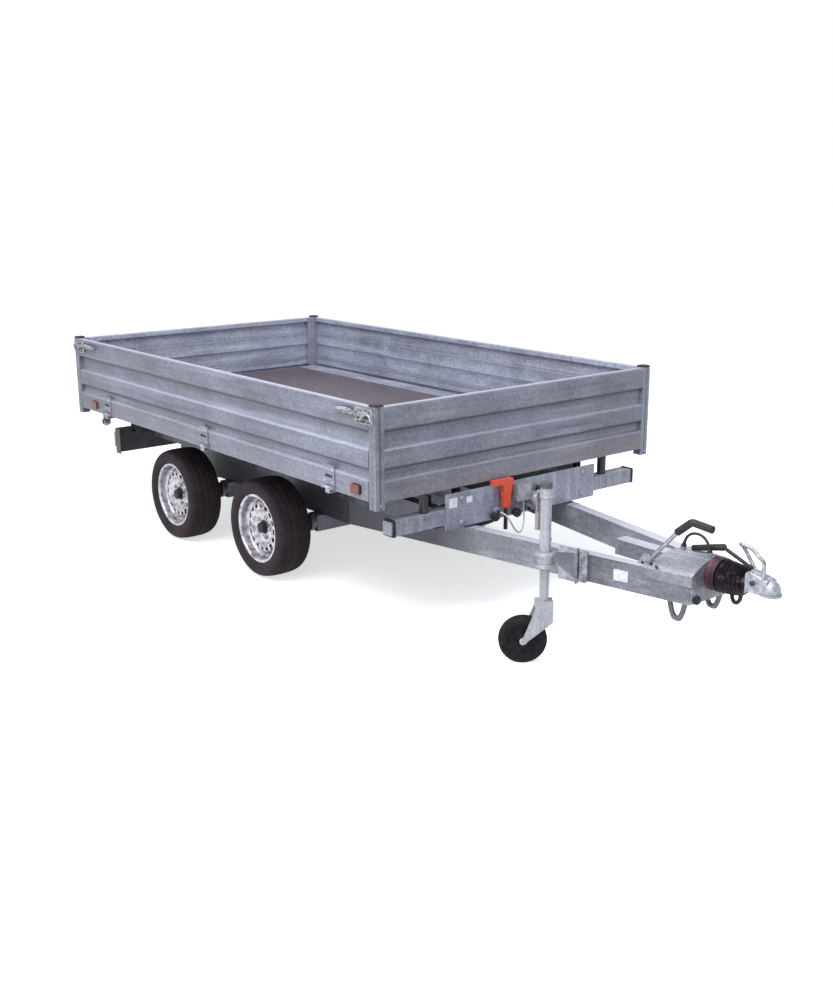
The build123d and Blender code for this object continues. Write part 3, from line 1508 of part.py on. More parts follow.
grip_line = [(from_nose(distance), lever_y, z) for distance, z in lever_grip]
write(bent_tube(grip_line, lever_grip_radius, lever_bend) - handbrake_lever.part, "handbrake_grip")

# Lamp board and its lamps
lamp_board_x = from_rear(lamp_board_from_rear)
lamp_board_mid_z = (lamp_board_bottom_z + lamp_board_top_z) / 2
lamp_bracket_x = (lamp_board_x + rear_member_x - rear_member_size / 2) / 2
with BuildPart() as lamp_board:
    with BuildSketch(Plane.YZ.offset(lamp_board_x)):
        with Locations((0, lamp_board_mid_z)):
            Rectangle(2 * lamp_board_half, lamp_board_top_z - lamp_board_bottom_z)
    extrude(amount=-lamp_board_sheet)
    with BuildSketch(Plane.YZ.offset(lamp_board_x - lamp_board_sheet)):
        with Locations((0, lamp_board_mid_z)):
            Rectangle(number_plate_length, number_plate_height)
    extrude(amount=-number_plate_thickness)
    for sign in (-1, 1):
        with BuildSketch(Plane.XZ.offset(-sign * lamp_board_half)):
            with Locations((lamp_board_x + lamp_board_return / 2, lamp_board_mid_z)):
                Rectangle(lamp_board_return, lamp_board_top_z - lamp_board_bottom_z)
        extrude(amount=sign * lamp_board_sheet)
    bracket_front_x = rear_member_x - rear_member_size / 2
    with BuildSketch(Plane.XY.offset(rear_member_mid_z - rear_member_size / 2)):
        with Locations((lamp_bracket_x, -lamp_bracket_y), (lamp_bracket_x, lamp_bracket_y)):
            Rectangle(bracket_front_x - lamp_board_x, lamp_bracket_width)
    extrude(amount=lamp_board_top_z - (rear_member_mid_z - rear_member_size / 2))
write(lamp_board.part, "lamp_board")

with BuildPart() as tail_lamps:
    for sign in (-1, 1):
        with BuildSketch(Plane.YZ.offset(lamp_board_x - lamp_board_sheet)):
            lamp_y = lamp_board_half - tail_lamp_length / 2 - tail_lamp_inset
            with Locations((sign * lamp_y, lamp_board_mid_z)):
                RectangleRounded(tail_lamp_length, tail_lamp_height, tail_lamp_corner)
        extrude(amount=-tail_lamp_depth)
write(tail_lamps.part, "tail_lamps")

# Hydraulics on the front plate: valve block, motor, orange handle with its stem, lead and hose
with BuildPart() as hydraulic_unit:
    with BuildSketch(Plane.YZ.offset(plate_face_x)):
        with Locations((valve_y, valve_z)):
            RectangleRounded(valve_width, valve_height, valve_corner)
    extrude(amount=valve_depth)
    with BuildSketch(Plane.YZ.offset(plate_face_x)):
        with Locations((motor_y, motor_z)):
            Circle(motor_radius)
    extrude(amount=motor_length)
write(hydraulic_unit.part, "hydraulic_unit")

handle_x = plate_face_x + handle_stand_off
with BuildPart() as valve_handle:
    with BuildSketch(Plane.YZ.offset(handle_x)):
        with BuildLine():
            Polyline(
                (handle_arm_y - handle_arm_top_width / 2, handle_arm_top_z),
                (handle_arm_y + handle_arm_top_width / 2, handle_arm_top_z),
                (handle_arm_y + handle_arm_bottom_width / 2, handle_arm_bottom_z),
                (handle_arm_y - handle_arm_bottom_width / 2, handle_arm_bottom_z),
                close=True,
            )
        make_face()
        with Locations((handle_blade_y, handle_arm_top_z)):
            RectangleRounded(handle_blade_length, handle_blade_height, handle_blade_corner)
    extrude(amount=handle_depth)
    with BuildSketch(Plane.YZ.offset(plate_face_x)):
        with Locations((handle_arm_y, (handle_arm_top_z + handle_arm_bottom_z) / 2)):
            Circle(handle_boss_radius)
    extrude(amount=handle_stand_off)
    with BuildSketch(Plane.XY.offset(stem_bottom_z)):
        with Locations((handle_x + handle_depth / 2, handle_arm_y)):
            Circle(stem_radius)
    extrude(amount=handle_arm_bottom_z - stem_bottom_z)
write(valve_handle.part, "valve_handle")

for label, route, radius in (
    ("plate_lead", plate_lead_route, plate_lead_radius),
    ("plate_hose", plate_hose_route, plate_hose_radius),
):
    write(cord([(plate_face_x + ahead, y, z) for ahead, y, z in route], radius), label)
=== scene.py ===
from math import cos, pi, radians, sin

import bmesh
import bpy
import numpy as np
from mathutils import Matrix, Vector


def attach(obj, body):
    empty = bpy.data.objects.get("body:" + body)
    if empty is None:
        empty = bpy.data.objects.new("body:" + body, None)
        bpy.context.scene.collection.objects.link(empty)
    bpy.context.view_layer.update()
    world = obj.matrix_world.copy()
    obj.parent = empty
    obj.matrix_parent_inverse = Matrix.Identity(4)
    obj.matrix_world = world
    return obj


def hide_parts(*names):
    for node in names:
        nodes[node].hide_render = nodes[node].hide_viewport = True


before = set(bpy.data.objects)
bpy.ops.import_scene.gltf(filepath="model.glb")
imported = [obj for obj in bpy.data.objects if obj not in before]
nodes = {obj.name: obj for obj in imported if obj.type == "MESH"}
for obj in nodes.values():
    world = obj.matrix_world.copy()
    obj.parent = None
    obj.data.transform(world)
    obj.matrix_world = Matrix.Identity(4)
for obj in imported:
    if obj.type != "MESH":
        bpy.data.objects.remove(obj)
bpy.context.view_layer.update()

# The photographer's place: off the trailer's front right corner at standing height, with the
# lens fitted to the bed's corners, the wheels and the coupling.
eye = (4.9097, -4.0052, 2.0477)
yaw, pitch, roll = 2.4593, -0.2530, -0.0031
film_height, focal_length, view_shift = 36.0, 44.188, -0.01
ahead = Vector((cos(pitch) * cos(yaw), cos(pitch) * sin(yaw), sin(pitch)))
level_right = ahead.cross(Vector((0, 0, 1))).normalized()
level_up = level_right.cross(ahead)
right = level_right * cos(roll) + level_up * sin(roll)
up = level_up * cos(roll) - level_right * sin(roll)
photo_camera = bpy.data.objects.new("photo_camera", bpy.data.cameras.new("photo_camera"))
bpy.context.collection.objects.link(photo_camera)
turn = Matrix((right, up, -ahead)).transposed()
photo_camera.matrix_world = Matrix.Translation(eye) @ turn.to_4x4()
photo_camera.data.sensor_fit = "VERTICAL"
photo_camera.data.sensor_height = film_height
photo_camera.data.lens = focal_length
photo_camera.data.shift_y = view_shift
bpy.context.scene.camera = photo_camera
bpy.context.scene.view_settings.view_transform = "Standard"

# The studio: a seamless white floor and backdrop under a soft sky, with a large panel over the
# bed and a smaller one by the coupling. The ground that lights the underside is dull and warm.
sky = bpy.data.worlds.new("studio_sky")
bpy.context.scene.world = sky
sky.use_nodes = True
sky_tree = sky.node_tree
for old in list(sky_tree.nodes):
    sky_tree.nodes.remove(old)
seen = sky_tree.nodes.new("ShaderNodeBackground")
seen.inputs["Color"].default_value = (1.0, 1.0, 1.0, 1.0)
seen.inputs["Strength"].default_value = 1.0
lighting = sky_tree.nodes.new("ShaderNodeBackground")
lighting.inputs["Color"].default_value = (0.84, 0.91, 1.0, 1.0)
lighting.inputs["Strength"].default_value = 0.62


def pale_share(tree):
    """The share of rays that see the white backdrop: those of the camera, and glossy and
    transmitted ones."""
    ray = tree.nodes.new("ShaderNodeLightPath")
    either = tree.nodes.new("ShaderNodeMath")
    either.operation = "MAXIMUM"
    tree.links.new(ray.outputs["Is Camera Ray"], either.inputs[0])
    tree.links.new(ray.outputs["Is Glossy Ray"], either.inputs[1])
    every = tree.nodes.new("ShaderNodeMath")
    every.operation = "MAXIMUM"
    tree.links.new(either.outputs[0], every.inputs[0])
    tree.links.new(ray.outputs["Is Transmission Ray"], every.inputs[1])
    return every.outputs[0]


choose = sky_tree.nodes.new("ShaderNodeMixShader")
sky_out = sky_tree.nodes.new("ShaderNodeOutputWorld")
sky_tree.links.new(pale_share(sky_tree), choose.inputs[0])
sky_tree.links.new(lighting.outputs[0], choose.inputs[1])
sky_tree.links.new(seen.outputs[0], choose.inputs[2])
sky_tree.links.new(choose.outputs[0], sky_out.inputs["Surface"])


def soft_panel(name, place, aim, size, power):
    """A square lamp panel at place that faces aim."""
    lamp = bpy.data.lights.new(name, "AREA")
    lamp.size = size
    lamp.energy = power
    panel = bpy.data.objects.new(name, lamp)
    bpy.context.collection.objects.link(panel)
    facing = (Vector(aim) - Vector(place)).to_track_quat("-Z", "Y").to_matrix().to_4x4()
    panel.matrix_world = Matrix.Translation(place) @ facing


soft_panel("panel_over_bed", (0.8, -2.6, 5.6), (-0.2, 0.2, 0.6), 4.5, 470.0)
soft_panel("panel_by_coupling", (5.0, -6.0, 2.8), (0.3, -0.2, 0.5), 3.0, 70.0)

floor_reach = 60
floor_corners = [(x * floor_reach, y * floor_reach, 0) for x, y in ((-1, -1), (1, -1), (1, 1), (-1, 1))]
floor_mesh = bpy.data.meshes.new("studio_floor")
floor_mesh.from_pydata(floor_corners, [], [(0, 1, 2, 3)])
studio_floor = bpy.data.objects.new("studio_floor", floor_mesh)
bpy.context.collection.objects.link(studio_floor)
pale = bpy.data.materials.new("pale_floor")
pale.use_nodes = True
floor_tree = pale.node_tree
dull_ground = floor_tree.nodes["Principled BSDF"]
dull_ground.inputs["Base Color"].default_value = (0.36, 0.32, 0.30, 1.0)
dull_ground.inputs["Roughness"].default_value = 0.9
dull_ground.inputs["Specular IOR Level"].default_value = 0.0
white_ground = floor_tree.nodes.new("ShaderNodeBsdfDiffuse")
white_ground.inputs["Color"].default_value = (0.86, 0.86, 0.86, 1.0)
floor_glow = floor_tree.nodes.new("ShaderNodeEmission")
floor_glow.inputs["Strength"].default_value = 0.62
floor_sum = floor_tree.nodes.new("ShaderNodeAddShader")
floor_mix = floor_tree.nodes.new("ShaderNodeMixShader")
floor_tree.links.new(white_ground.outputs[0], floor_sum.inputs[0])
floor_tree.links.new(floor_glow.outputs[0], floor_sum.inputs[1])
floor_tree.links.new(pale_share(floor_tree), floor_mix.inputs[0])
floor_tree.links.new(dull_ground.outputs[0], floor_mix.inputs[1])
floor_tree.links.new(floor_sum.outputs[0], floor_mix.inputs[2])
floor_tree.links.new(floor_mix.outputs[0], floor_tree.nodes["Material Output"].inputs["Surface"])
floor_mesh.materials.append(pale)

# Two long box-section beams run under the bed and bend inwards to the coupling. Like the rest
# of the chassis they were welded up and then hot-dip galvanised, which leaves zinc crystals,
# cloudy patches and paler runs down their sides.


class Finish:
    """A procedural finish: the nodes of one material and short calls that add to them."""

    def __init__(self, name, colour, metallic=0.0, roughness=0.5, specular=0.5):
        self.material = bpy.data.materials.new(name)
        self.material.use_nodes = True
        self.material.diffuse_color = (*colour, 1.0)
        self.tree = self.material.node_tree
        self.shader = self.tree.nodes["Principled BSDF"]
        self.shader.inputs["Base Color"].default_value = (*colour, 1.0)
        self.shader.inputs["Metallic"].default_value = metallic
        self.shader.inputs["Roughness"].default_value = roughness
        self.shader.inputs["Specular IOR Level"].default_value = specular
        self.place = self.tree.nodes.new("ShaderNodeTexCoord").outputs["Object"]

    def stretched(self, x, y, z):
        """Object coordinates scaled along each axis."""
        node = self.tree.nodes.new("ShaderNodeMapping")
        node.inputs["Scale"].default_value = (x, y, z)
        self.tree.links.new(self.place, node.inputs["Vector"])
        return node.outputs["Vector"]

    def along(self, axis):
        """One object coordinate, 0 for X, 1 for Y and 2 for Z, in metres."""
        node = self.tree.nodes.new("ShaderNodeSeparateXYZ")
        self.tree.links.new(self.place, node.inputs[0])
        return node.outputs[axis]

    def upward(self):
        """How far the surface faces up: 1 on a level top, below 0.5 on a side."""
        node = self.tree.nodes.new("ShaderNodeSeparateXYZ")
        self.tree.links.new(self.tree.nodes.new("ShaderNodeTexCoord").outputs["Normal"], node.inputs[0])
        return node.outputs[2]

    def noise(self, scale, detail=3.0, rough=0.55, warp=0.0, at=None):
        """Soft noise between 0 and 1."""
        node = self.tree.nodes.new("ShaderNodeTexNoise")
        node.inputs["Scale"].default_value = scale
        node.inputs["Detail"].default_value = detail
        node.inputs["Roughness"].default_value = rough
        node.inputs["Distortion"].default_value = warp
        self.tree.links.new(at or self.place, node.inputs["Vector"])
        return node.outputs["Fac"]

    def crystals(self, scale, at=None):
        """One random grey per Voronoi cell, as in zinc spangle."""
        node = self.tree.nodes.new("ShaderNodeTexVoronoi")
        node.inputs["Scale"].default_value = scale
        self.tree.links.new(at or self.place, node.inputs["Vector"])
        split = self.tree.nodes.new("ShaderNodeSeparateColor")
        self.tree.links.new(node.outputs["Color"], split.inputs[0])
        return split.outputs[0]

    def ramp(self, value, *stops):
        """Colours or greys set along a value: each stop is (position, colour)."""
        node = self.tree.nodes.new("ShaderNodeValToRGB")
        points = node.color_ramp.elements
        while len(points) < len(stops):
            points.new(0.5)
        for point, (position, colour) in zip(points, stops):
            point.position = position
            point.color = (*colour, 1.0) if isinstance(colour, tuple) else (colour, colour, colour, 1.0)
        self.tree.links.new(value, node.inputs["Fac"])
        return node.outputs["Color"]

    def blend(self, share, first, second, kind="MIX"):
        """Two colours mixed by a share that is a number or another output."""
        node = self.tree.nodes.new("ShaderNodeMix")
        node.data_type = "RGBA"
        node.blend_type = kind
        for socket, value in ((node.inputs[0], share), (node.inputs[6], first), (node.inputs[7], second)):
            if isinstance(value, (int, float)):
                socket.default_value = value
            elif isinstance(value, tuple):
                socket.default_value = (*value, 1.0)
            else:
                self.tree.links.new(value, socket)
        return node.outputs[2]

    def sum(self, first, second, share=1.0):
        """first + share * second, where first may be a number."""
        node = self.tree.nodes.new("ShaderNodeMath")
        node.operation = "MULTIPLY_ADD"
        node.inputs[1].default_value = share
        self.tree.links.new(second, node.inputs[0])
        if isinstance(first, (int, float)):
            node.inputs[2].default_value = first
        else:
            self.tree.links.new(first, node.inputs[2])
        return node.outputs[0]

    def colour(self, output):
        self.tree.links.new(output, self.shader.inputs["Base Color"])

    def roughness(self, output):
        self.tree.links.new(output, self.shader.inputs["Roughness"])

    def so_far(self):
        """The colour that the finish has now, to lay more over."""
        return self.shader.inputs["Base Color"].links[0].from_socket

    def mottled(self, cloud, *stops):
        """Colours the finish by stops along a noise of cloud: its scale, detail and roughness."""
        self.colour(self.ramp(self.noise(*cloud), *stops))

    def relief(self, height, depth, strength):
        """Raises the surface by height times depth metres."""
        node = self.tree.nodes.new("ShaderNodeBump")
        node.inputs["Strength"].default_value = strength
        node.inputs["Distance"].default_value = depth
        self.tree.links.new(height, node.inputs["Height"])
        self.tree.links.new(node.outputs["Normal"], self.shader.inputs["Normal"])


def galvanised(
    name, dark, light, crystal_size=0.011, contrast=0.35, runs_along=2, metallic=0.3, top_highlight=0.0
):
    """Hot-dip zinc: crystals in near greys, cloudy patches, fine grain, pale runs along one axis,
    small dross pips, and tops that face up painted lighter, a painted highlight for the light from above."""
    zinc = Finish(name, light, metallic=metallic, roughness=0.42)
    clouds = zinc.noise(2.6, 5.0, 0.62, 0.4)
    stretch = [26.0, 26.0, 26.0]
    stretch[runs_along] = 1.4
    runs = zinc.noise(1.0, 5.0, 0.65, at=zinc.stretched(*stretch))
    spangle = zinc.crystals(1.0 / crystal_size)
    grain = zinc.noise(190.0, 3.0, 0.7)
    base = zinc.ramp(clouds, (0.32, dark), (0.70, light))
    base = zinc.blend(contrast, base, zinc.ramp(spangle, (0.0, 0.26), (1.0, 0.76)), "OVERLAY")
    base = zinc.blend(0.34, base, zinc.ramp(grain, (0.32, 0.28), (0.68, 0.74)), "OVERLAY")
    pale = tuple(min(1.0, c * 1.35) for c in light)
    base = zinc.blend(zinc.ramp(runs, (0.54, 0.0), (0.72, 0.7)), base, pale)
    base = zinc.blend(zinc.ramp(runs, (0.26, 0.8), (0.45, 0.0)), base, tuple(c * 0.7 for c in dark))
    # Painted highlight: the share given here lightens surfaces that face up, standing in for the light that
    # falls on them from above.
    if top_highlight:
        base = zinc.blend(
            zinc.ramp(zinc.upward(), (0.7, 0.0), (0.95, top_highlight)), base,
            tuple(min(1.0, c * 2.2) for c in light)
        )
    pips = zinc.noise(150.0, 2.0, 0.5)
    base = zinc.blend(zinc.ramp(pips, (0.70, 0.0), (0.76, 0.6)), base, pale)
    zinc.colour(base)
    zinc.roughness(zinc.ramp(zinc.sum(clouds, spangle, 0.35), (0.3, 0.30), (0.95, 0.56)))
    zinc.relief(zinc.sum(pips, zinc.noise(24.0, 4.0), 1.5), 0.0007, 0.6)
    return zinc


def dress(material, *names):
    """Gives CAD nodes a material in place of their plain one."""
    for name in names:
        slots = nodes[name].data.materials
        slots.clear()
        slots.append(material)


beam = galvanised("beam_zinc", (0.125, 0.130, 0.155), (0.285, 0.295, 0.345), 0.010, 0.45, 0, 0.3, 0.75)
# Painted shade: behind x = 0.86, under the bed, the beams fade to near black, for the shadow the bed casts on
# them.
beam_base = beam.so_far()
beam.colour(beam.blend(beam.ramp(beam.along(0), (0.60, 0.82), (0.86, 0.0)), beam_base, (0.040, 0.041, 0.052)))
beam_zinc = beam.material
dress(beam_zinc, "drawbar_beam_right", "drawbar_beam_left")
# Painted shade: the parts under the bed get a much darker copy of the zinc, for the shade of the bed over
# them.
shaded_under_zinc = galvanised("shaded_under_zinc", (0.045, 0.047, 0.060), (0.155, 0.160, 0.20), 0.014, 0.4, 2).material
dress(shaded_under_zinc, "chassis_rails", "cross_members", "rear_cross_member")
member_zinc = galvanised("member_zinc", (0.195, 0.205, 0.260), (0.375, 0.395, 0.490), 0.012, 0.4, 2, 0.3, 0.4)
dress(member_zinc.material, "front_cross_member")
housing_zinc = galvanised(
    "housing_zinc", (0.150, 0.158, 0.190), (0.320, 0.335, 0.395), 0.010, 0.4, 0, 0.3, 0.5
)
dress(housing_zinc.material, "overrun_housing")
axle_zinc = galvanised("axle_zinc", (0.10, 0.105, 0.125), (0.20, 0.21, 0.24), 0.012, 0.3, 1).material
dress(axle_zinc, "axle_front", "axle_rear")


def circle(radius, sides=16):
    """Points of a circle as two columns, anticlockwise. A list of radii gives a circle for each."""
    around = np.linspace(0.0, 2 * pi, sides, endpoint=False)
    return np.asarray(radius, dtype=float)[..., None, None] * np.stack([np.cos(around), np.sin(around)], -1)


def turned(profile, sides=24):
    """Rings round Z through a profile of (radius, height) pairs."""
    profile = np.asarray(profile, dtype=float)
    flat = circle(profile[:, 0], sides)
    return np.concatenate([flat, np.broadcast_to(profile[:, 1, None, None], (len(profile), sides, 1))], -1)


def placed(rings, spots, axis=(0, 0, 1)):
    """Copies of rings that were made round Z, with Z turned to axis, one at each spot."""
    facing = np.array(Vector(axis).to_track_quat("Z", "Y").to_matrix())
    return (rings @ facing.T)[None] + np.asarray(spots, dtype=float).reshape(-1, 1, 1, 3)


def rounded(points, times=3):
    """A path whose corners are cut again and again: each run keeps its quarter and three-quarter
    points, and the ends stay."""
    points = np.asarray(points, dtype=float)
    for _ in range(times):
        near, far = 0.75 * points[:-1] + 0.25 * points[1:], 0.25 * points[:-1] + 0.75 * points[1:]
        middle = np.stack([near, far], axis=1).reshape(-1, points.shape[1])
        points = np.concatenate([points[:1], middle, points[-1:]])
    return points


def swept(path, section, across=(0, 1, 0)):
    """Rings of a section carried along a path: its first column lies as near to across as the
    path allows, its second at right angles to that and to the path."""
    path = np.asarray(path, dtype=float)
    along = np.gradient(path, axis=0)
    along /= np.linalg.norm(along, axis=1, keepdims=True)
    normal = np.cross(along, np.asarray(across, dtype=float))
    normal /= np.linalg.norm(normal, axis=1, keepdims=True)
    side = np.cross(normal, along)
    return path[:, None] + section[..., :1] * side[:, None] + section[..., 1:] * normal[:, None]


def solid(name, stacks, body, material, closed=False, angle=35.0):
    """A piece from stacks of rings (copies x rings x points x XYZ): quads join each point to its
    neighbours in its ring and in the next, and a face closes each end of an open stack."""
    points, faces, start = [], [], 0
    for stack in stacks:
        stack = np.asarray(stack, dtype=float)
        stack = stack[None] if stack.ndim == 3 else stack
        ids = start + np.arange(stack[..., 0].size).reshape(stack.shape[:3])
        near = ids if closed else ids[:, :-1]
        far = np.roll(ids, -1, axis=1) if closed else ids[:, 1:]
        quads = np.stack([near, np.roll(near, -1, axis=2), np.roll(far, -1, axis=2), far], axis=-1)
        faces += quads.reshape(-1, 4).tolist()
        if not closed:
            faces += ids[:, 0, ::-1].tolist() + ids[:, -1].tolist()
        points.append(stack.reshape(-1, 3))
        start += ids.size
    mesh = bpy.data.meshes.new(name)
    mesh.from_pydata(np.concatenate(points).tolist(), [], faces)
    return finished(name, mesh, body, material, angle)


def finished(name, mesh, body, material, angle=35.0):
    """An object for a mesh: faces turned outwards, shaded smooth up to an angle, riding on a body."""
    shell = bmesh.new()
    shell.from_mesh(mesh)
    bmesh.ops.recalc_face_normals(shell, faces=shell.faces)
    shell.to_mesh(mesh)
    shell.free()
    mesh.polygons.foreach_set("use_smooth", np.ones(len(mesh.polygons), dtype=bool))
    mesh.set_sharp_from_angle(angle=radians(angle))
    mesh.materials.append(material)
    piece = bpy.data.objects.new(name, mesh)
    bpy.context.collection.objects.link(piece)
    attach(piece, body)
    return piece


def bolts(name, spots, axis, size, body, material):
    """Hexagon bolts with washers, heads out along axis; size is the head's radius."""
    washer = turned(((1.2, -0.1), (1.2, 0.16), (1.12, 0.22)), 24)
    head = turned(((0.95, 0.1), (1.0, 0.24), (1.0, 0.78), (0.86, 0.9)), 6)
    stud = turned(((0.46, 0.5), (0.46, 1.12), (0.36, 1.22)), 12)
    stacks = [placed(part * size, spots, axis) for part in (washer, head, stud)]
    return solid(name, stacks, body, material, angle=25.0)


def welds(name, runs, size, body):
    """Weld beads along straight runs from one point to another: a round bead whose radius
    ripples every few millimetres."""
    stacks = []
    for first, last in runs:
        first, last = np.array(first, dtype=float), np.array(last, dtype=float)
        count = int(np.linalg.norm(last - first) / 0.0022) + 2
        share = np.linspace(0.0, 1.0, count)[:, None]
        path = first + share * (last - first)
        ripple = size * (1.0 + 0.16 * np.sin(np.arange(count) * 2.1) + 0.08 * np.sin(np.arange(count) * 0.7))
        ripple[[0, -1]] *= 0.5
        across = (0, 0, 1) if abs(last[2] - first[2]) < 0.5 * np.linalg.norm(last - first) else (1, 0, 0)
        stacks.append(swept(path, circle(ripple, 8), across))
    return solid(name, stacks, body, beam_zinc)


plate = Finish("bright_plate", (0.40, 0.41, 0.45), metallic=0.5, roughness=0.36)
grime = plate.noise(38.0, 5.0, 0.65)
plate_grain = plate.noise(260.0, 2.0, 0.6)
plate_colour = plate.ramp(grime, (0.34, (0.16, 0.17, 0.20)), (0.62, (0.46, 0.47, 0.52)))
plate.colour(plate.blend(0.4, plate_colour, plate.ramp(plate_grain, (0.3, 0.3), (0.7, 0.75)), "OVERLAY"))
plate.roughness(plate.ramp(grime, (0.3, 0.24), (0.75, 0.5)))
plate.relief(plate.noise(90.0, 3.0), 0.0004, 0.5)
bright = plate.material

front_plate_x = 0.799
plate_bolt_spots = [(front_plate_x, y, z) for y in (-0.40, 0.40) for z in (0.482, 0.600)]
bolts("front_plate_bolts", plate_bolt_spots, (1, 0, 0), 0.009, "root", bright)
axle_plate_spots = [
    (x + dx, sign * (0.461 + dy), 0.327)
    for x in (-1.19, -0.289) for dx in (-0.07, 0.07) for dy in (-0.028, 0.028) for sign in (-1, 1)
]
bolts("axle_plate_bolts", axle_plate_spots, (0, 0, -1), 0.009, "root", axle_zinc)
pivot_x, pivot_y, pivot_z = -2.134, 0.62, 0.56
for name, sign in (("pivot_bolts", 1), ("pivot_bolts_right", -1)):
    bolts(name, [(pivot_x, sign * pivot_y, pivot_z)], (0, sign, 0), 0.016, "root", bright)

arm_slope, arm_nose_x, arm_nose_half = 0.1904, 1.926, 0.145


def arm_edge(x):
    """Y of the right arm's outer face at x."""
    return -(arm_nose_half + arm_slope * (arm_nose_x - x))


welds("arm_welds", [
    ((1.70, arm_edge(1.70), 0.4475), (1.40, arm_edge(1.40), 0.4475)),
    ((0.826, -0.28, 0.4465), (0.826, -0.36, 0.4465)),
    ((0.826, 0.28, 0.4465), (0.826, 0.36, 0.4465)),
], 0.0035, "root")
member_y, member_z, member_run = 0.4395, 0.46, 0.06
member_runs = [
    ((x, sign * member_y, member_z), (x, sign * member_y, member_z + member_run))
    for x in (-1.5645, 0.0365, 0.0755) for sign in (-1, 1)
]
welds("member_welds", member_runs, 0.003, "root")

# The black caps on the posts and the rings at the ends of the front cross member are moulded and
# have gone a little grey. The pads between bed and chassis are painted near black, as painted
# shade in the gap between bed and chassis.
black = Finish("black_moulding_and_slot_shade", (0.022, 0.020, 0.024), roughness=0.6, specular=0.25)
black.mottled((26.0, 5.0, 0.6), (0.3, (0.012, 0.011, 0.014)), (0.75, (0.040, 0.037, 0.042)))
black.relief(black.noise(500.0, 2.0), 0.0003, 0.5)
dress(black.material, "post_caps", "arm_end_rings")
dark_plate_and_gap_shade = Finish("dark_gap", (0.03, 0.035, 0.035), metallic=0.3, roughness=0.5)
dark_plate_and_gap_shade.mottled((90.0, 4.0), (0.3, (0.014, 0.014, 0.016)), (0.75, (0.060, 0.060, 0.066)))
# Painted shade: the pads between bed and chassis take this near-black finish for the shade in the gap.
dress(dark_plate_and_gap_shade.material, "bed_buffers")

# The load bed: a film-faced plywood floor, screwed down inside a galvanised border, on bearers,
# channels and two long beams that carry the rear pivots.
sheet = galvanised("sheet_zinc", (0.23, 0.24, 0.29), (0.47, 0.485, 0.56), 0.012, 0.4, 0)
dress(sheet.material, "bed_side_rails", "bed_end_rails")
# The parts under the bed take the darker zinc of painted shade.
dress(shaded_under_zinc, "bed_bearers", "bed_beams", "pivot_ears")

plywood = Finish("brown_plywood", (0.17, 0.145, 0.175), roughness=0.5, specular=0.4)
veneer = plywood.noise(2.0, 6.0, 0.65, 0.3, at=plywood.stretched(1.2, 9.0, 4.0))
scuffs = plywood.noise(30.0, 5.0, 0.7, at=plywood.stretched(0.4, 1.6, 1.0))
brown = plywood.ramp(veneer, (0.3, (0.062, 0.048, 0.060)), (0.7, (0.108, 0.086, 0.104)))
brown = plywood.blend(0.35, brown, plywood.ramp(plywood.noise(240.0, 2.0), (0.3, 0.3), (0.7, 0.7)), "OVERLAY")
plywood.colour(plywood.blend(plywood.ramp(scuffs, (0.56, 0.0), (0.78, 0.5)), brown, (0.19, 0.165, 0.19)))
plywood.roughness(plywood.ramp(scuffs, (0.35, 0.36), (0.8, 0.62)))
plywood.relief(plywood.noise(420.0, 1.0), 0.0003, 0.5)
dress(plywood.material, "floor_panel")

screw = turned(((0.0065, -0.001), (0.0065, 0.0004), (0.005, 0.0012), (0.0022, 0.0012), (0.0018, 0.0002)), 14)
floor_top = 0.740
screw_spots = [(x, y, floor_top) for x in np.linspace(-2.13, 0.64, 12) for y in (-0.69, -0.30, 0.30, 0.69)]
solid("floor_screws", [placed(screw, screw_spots)], "bed", bright)

# Corner posts of folded sheet. Each outer face is rolled with narrow beads, and a bolted
# gusset joins it to the bed's frame.
post = galvanised("post_zinc", (0.165, 0.178, 0.222), (0.325, 0.345, 0.415), 0.012, 0.3, 2)
dress(post.material, "corner_posts")
bead = np.array([(-0.004, -0.001), (-0.003, 0.0013), (0.0, 0.0022), (0.003, 0.0013), (0.004, -0.001)])
bead_steps, post_y = 24, 0.866
bead_z = np.linspace(0.620, 1.073, bead_steps)
bead_taper = np.clip(np.minimum(bead_z - 0.618, 1.075 - bead_z) / 0.012, 0.1, 1.0)[:, None, None]
post_beads = []
for end_x in (0.772, -2.220):
    for sign in (-1, 1):
        for offset in (-0.013, 0.002, 0.015):
            side_line = np.stack([
                np.full(bead_steps, end_x + offset), np.full(bead_steps, sign * 0.8899), bead_z
            ], -1)
            post_beads.append(swept(side_line, bead * bead_taper * (1, sign), (1, 0, 0)))
for sign in (-1, 1):
    for offset in (-0.012, 0.012):
        front_line = np.stack([
            np.full(bead_steps, 0.7959), np.full(bead_steps, sign * post_y + offset), bead_z
        ], -1)
        post_beads.append(swept(front_line, bead * bead_taper * (1, -1), (0, 1, 0)))
solid("post_beads", post_beads, "bed", post.material)
post_bolt_spots = [(0.7962, sign * post_y, 0.637) for sign in (-1, 1)]
bolts("post_bolts", post_bolt_spots, (1, 0, 0), 0.006, "bed", bright)

# Boards of pressed sheet with deep ledges along them. The front one is fixed, the side boards
# drop on three hinges each, and the tailgate swings. Rain has left paler runs. Their lower parts
# are painted warmer, as painted light bounced from the ground. Each ledge that faces up carries a
# painted highlight, and each one that faces down painted shade.
board_low, board_high = 0.65, 1.075


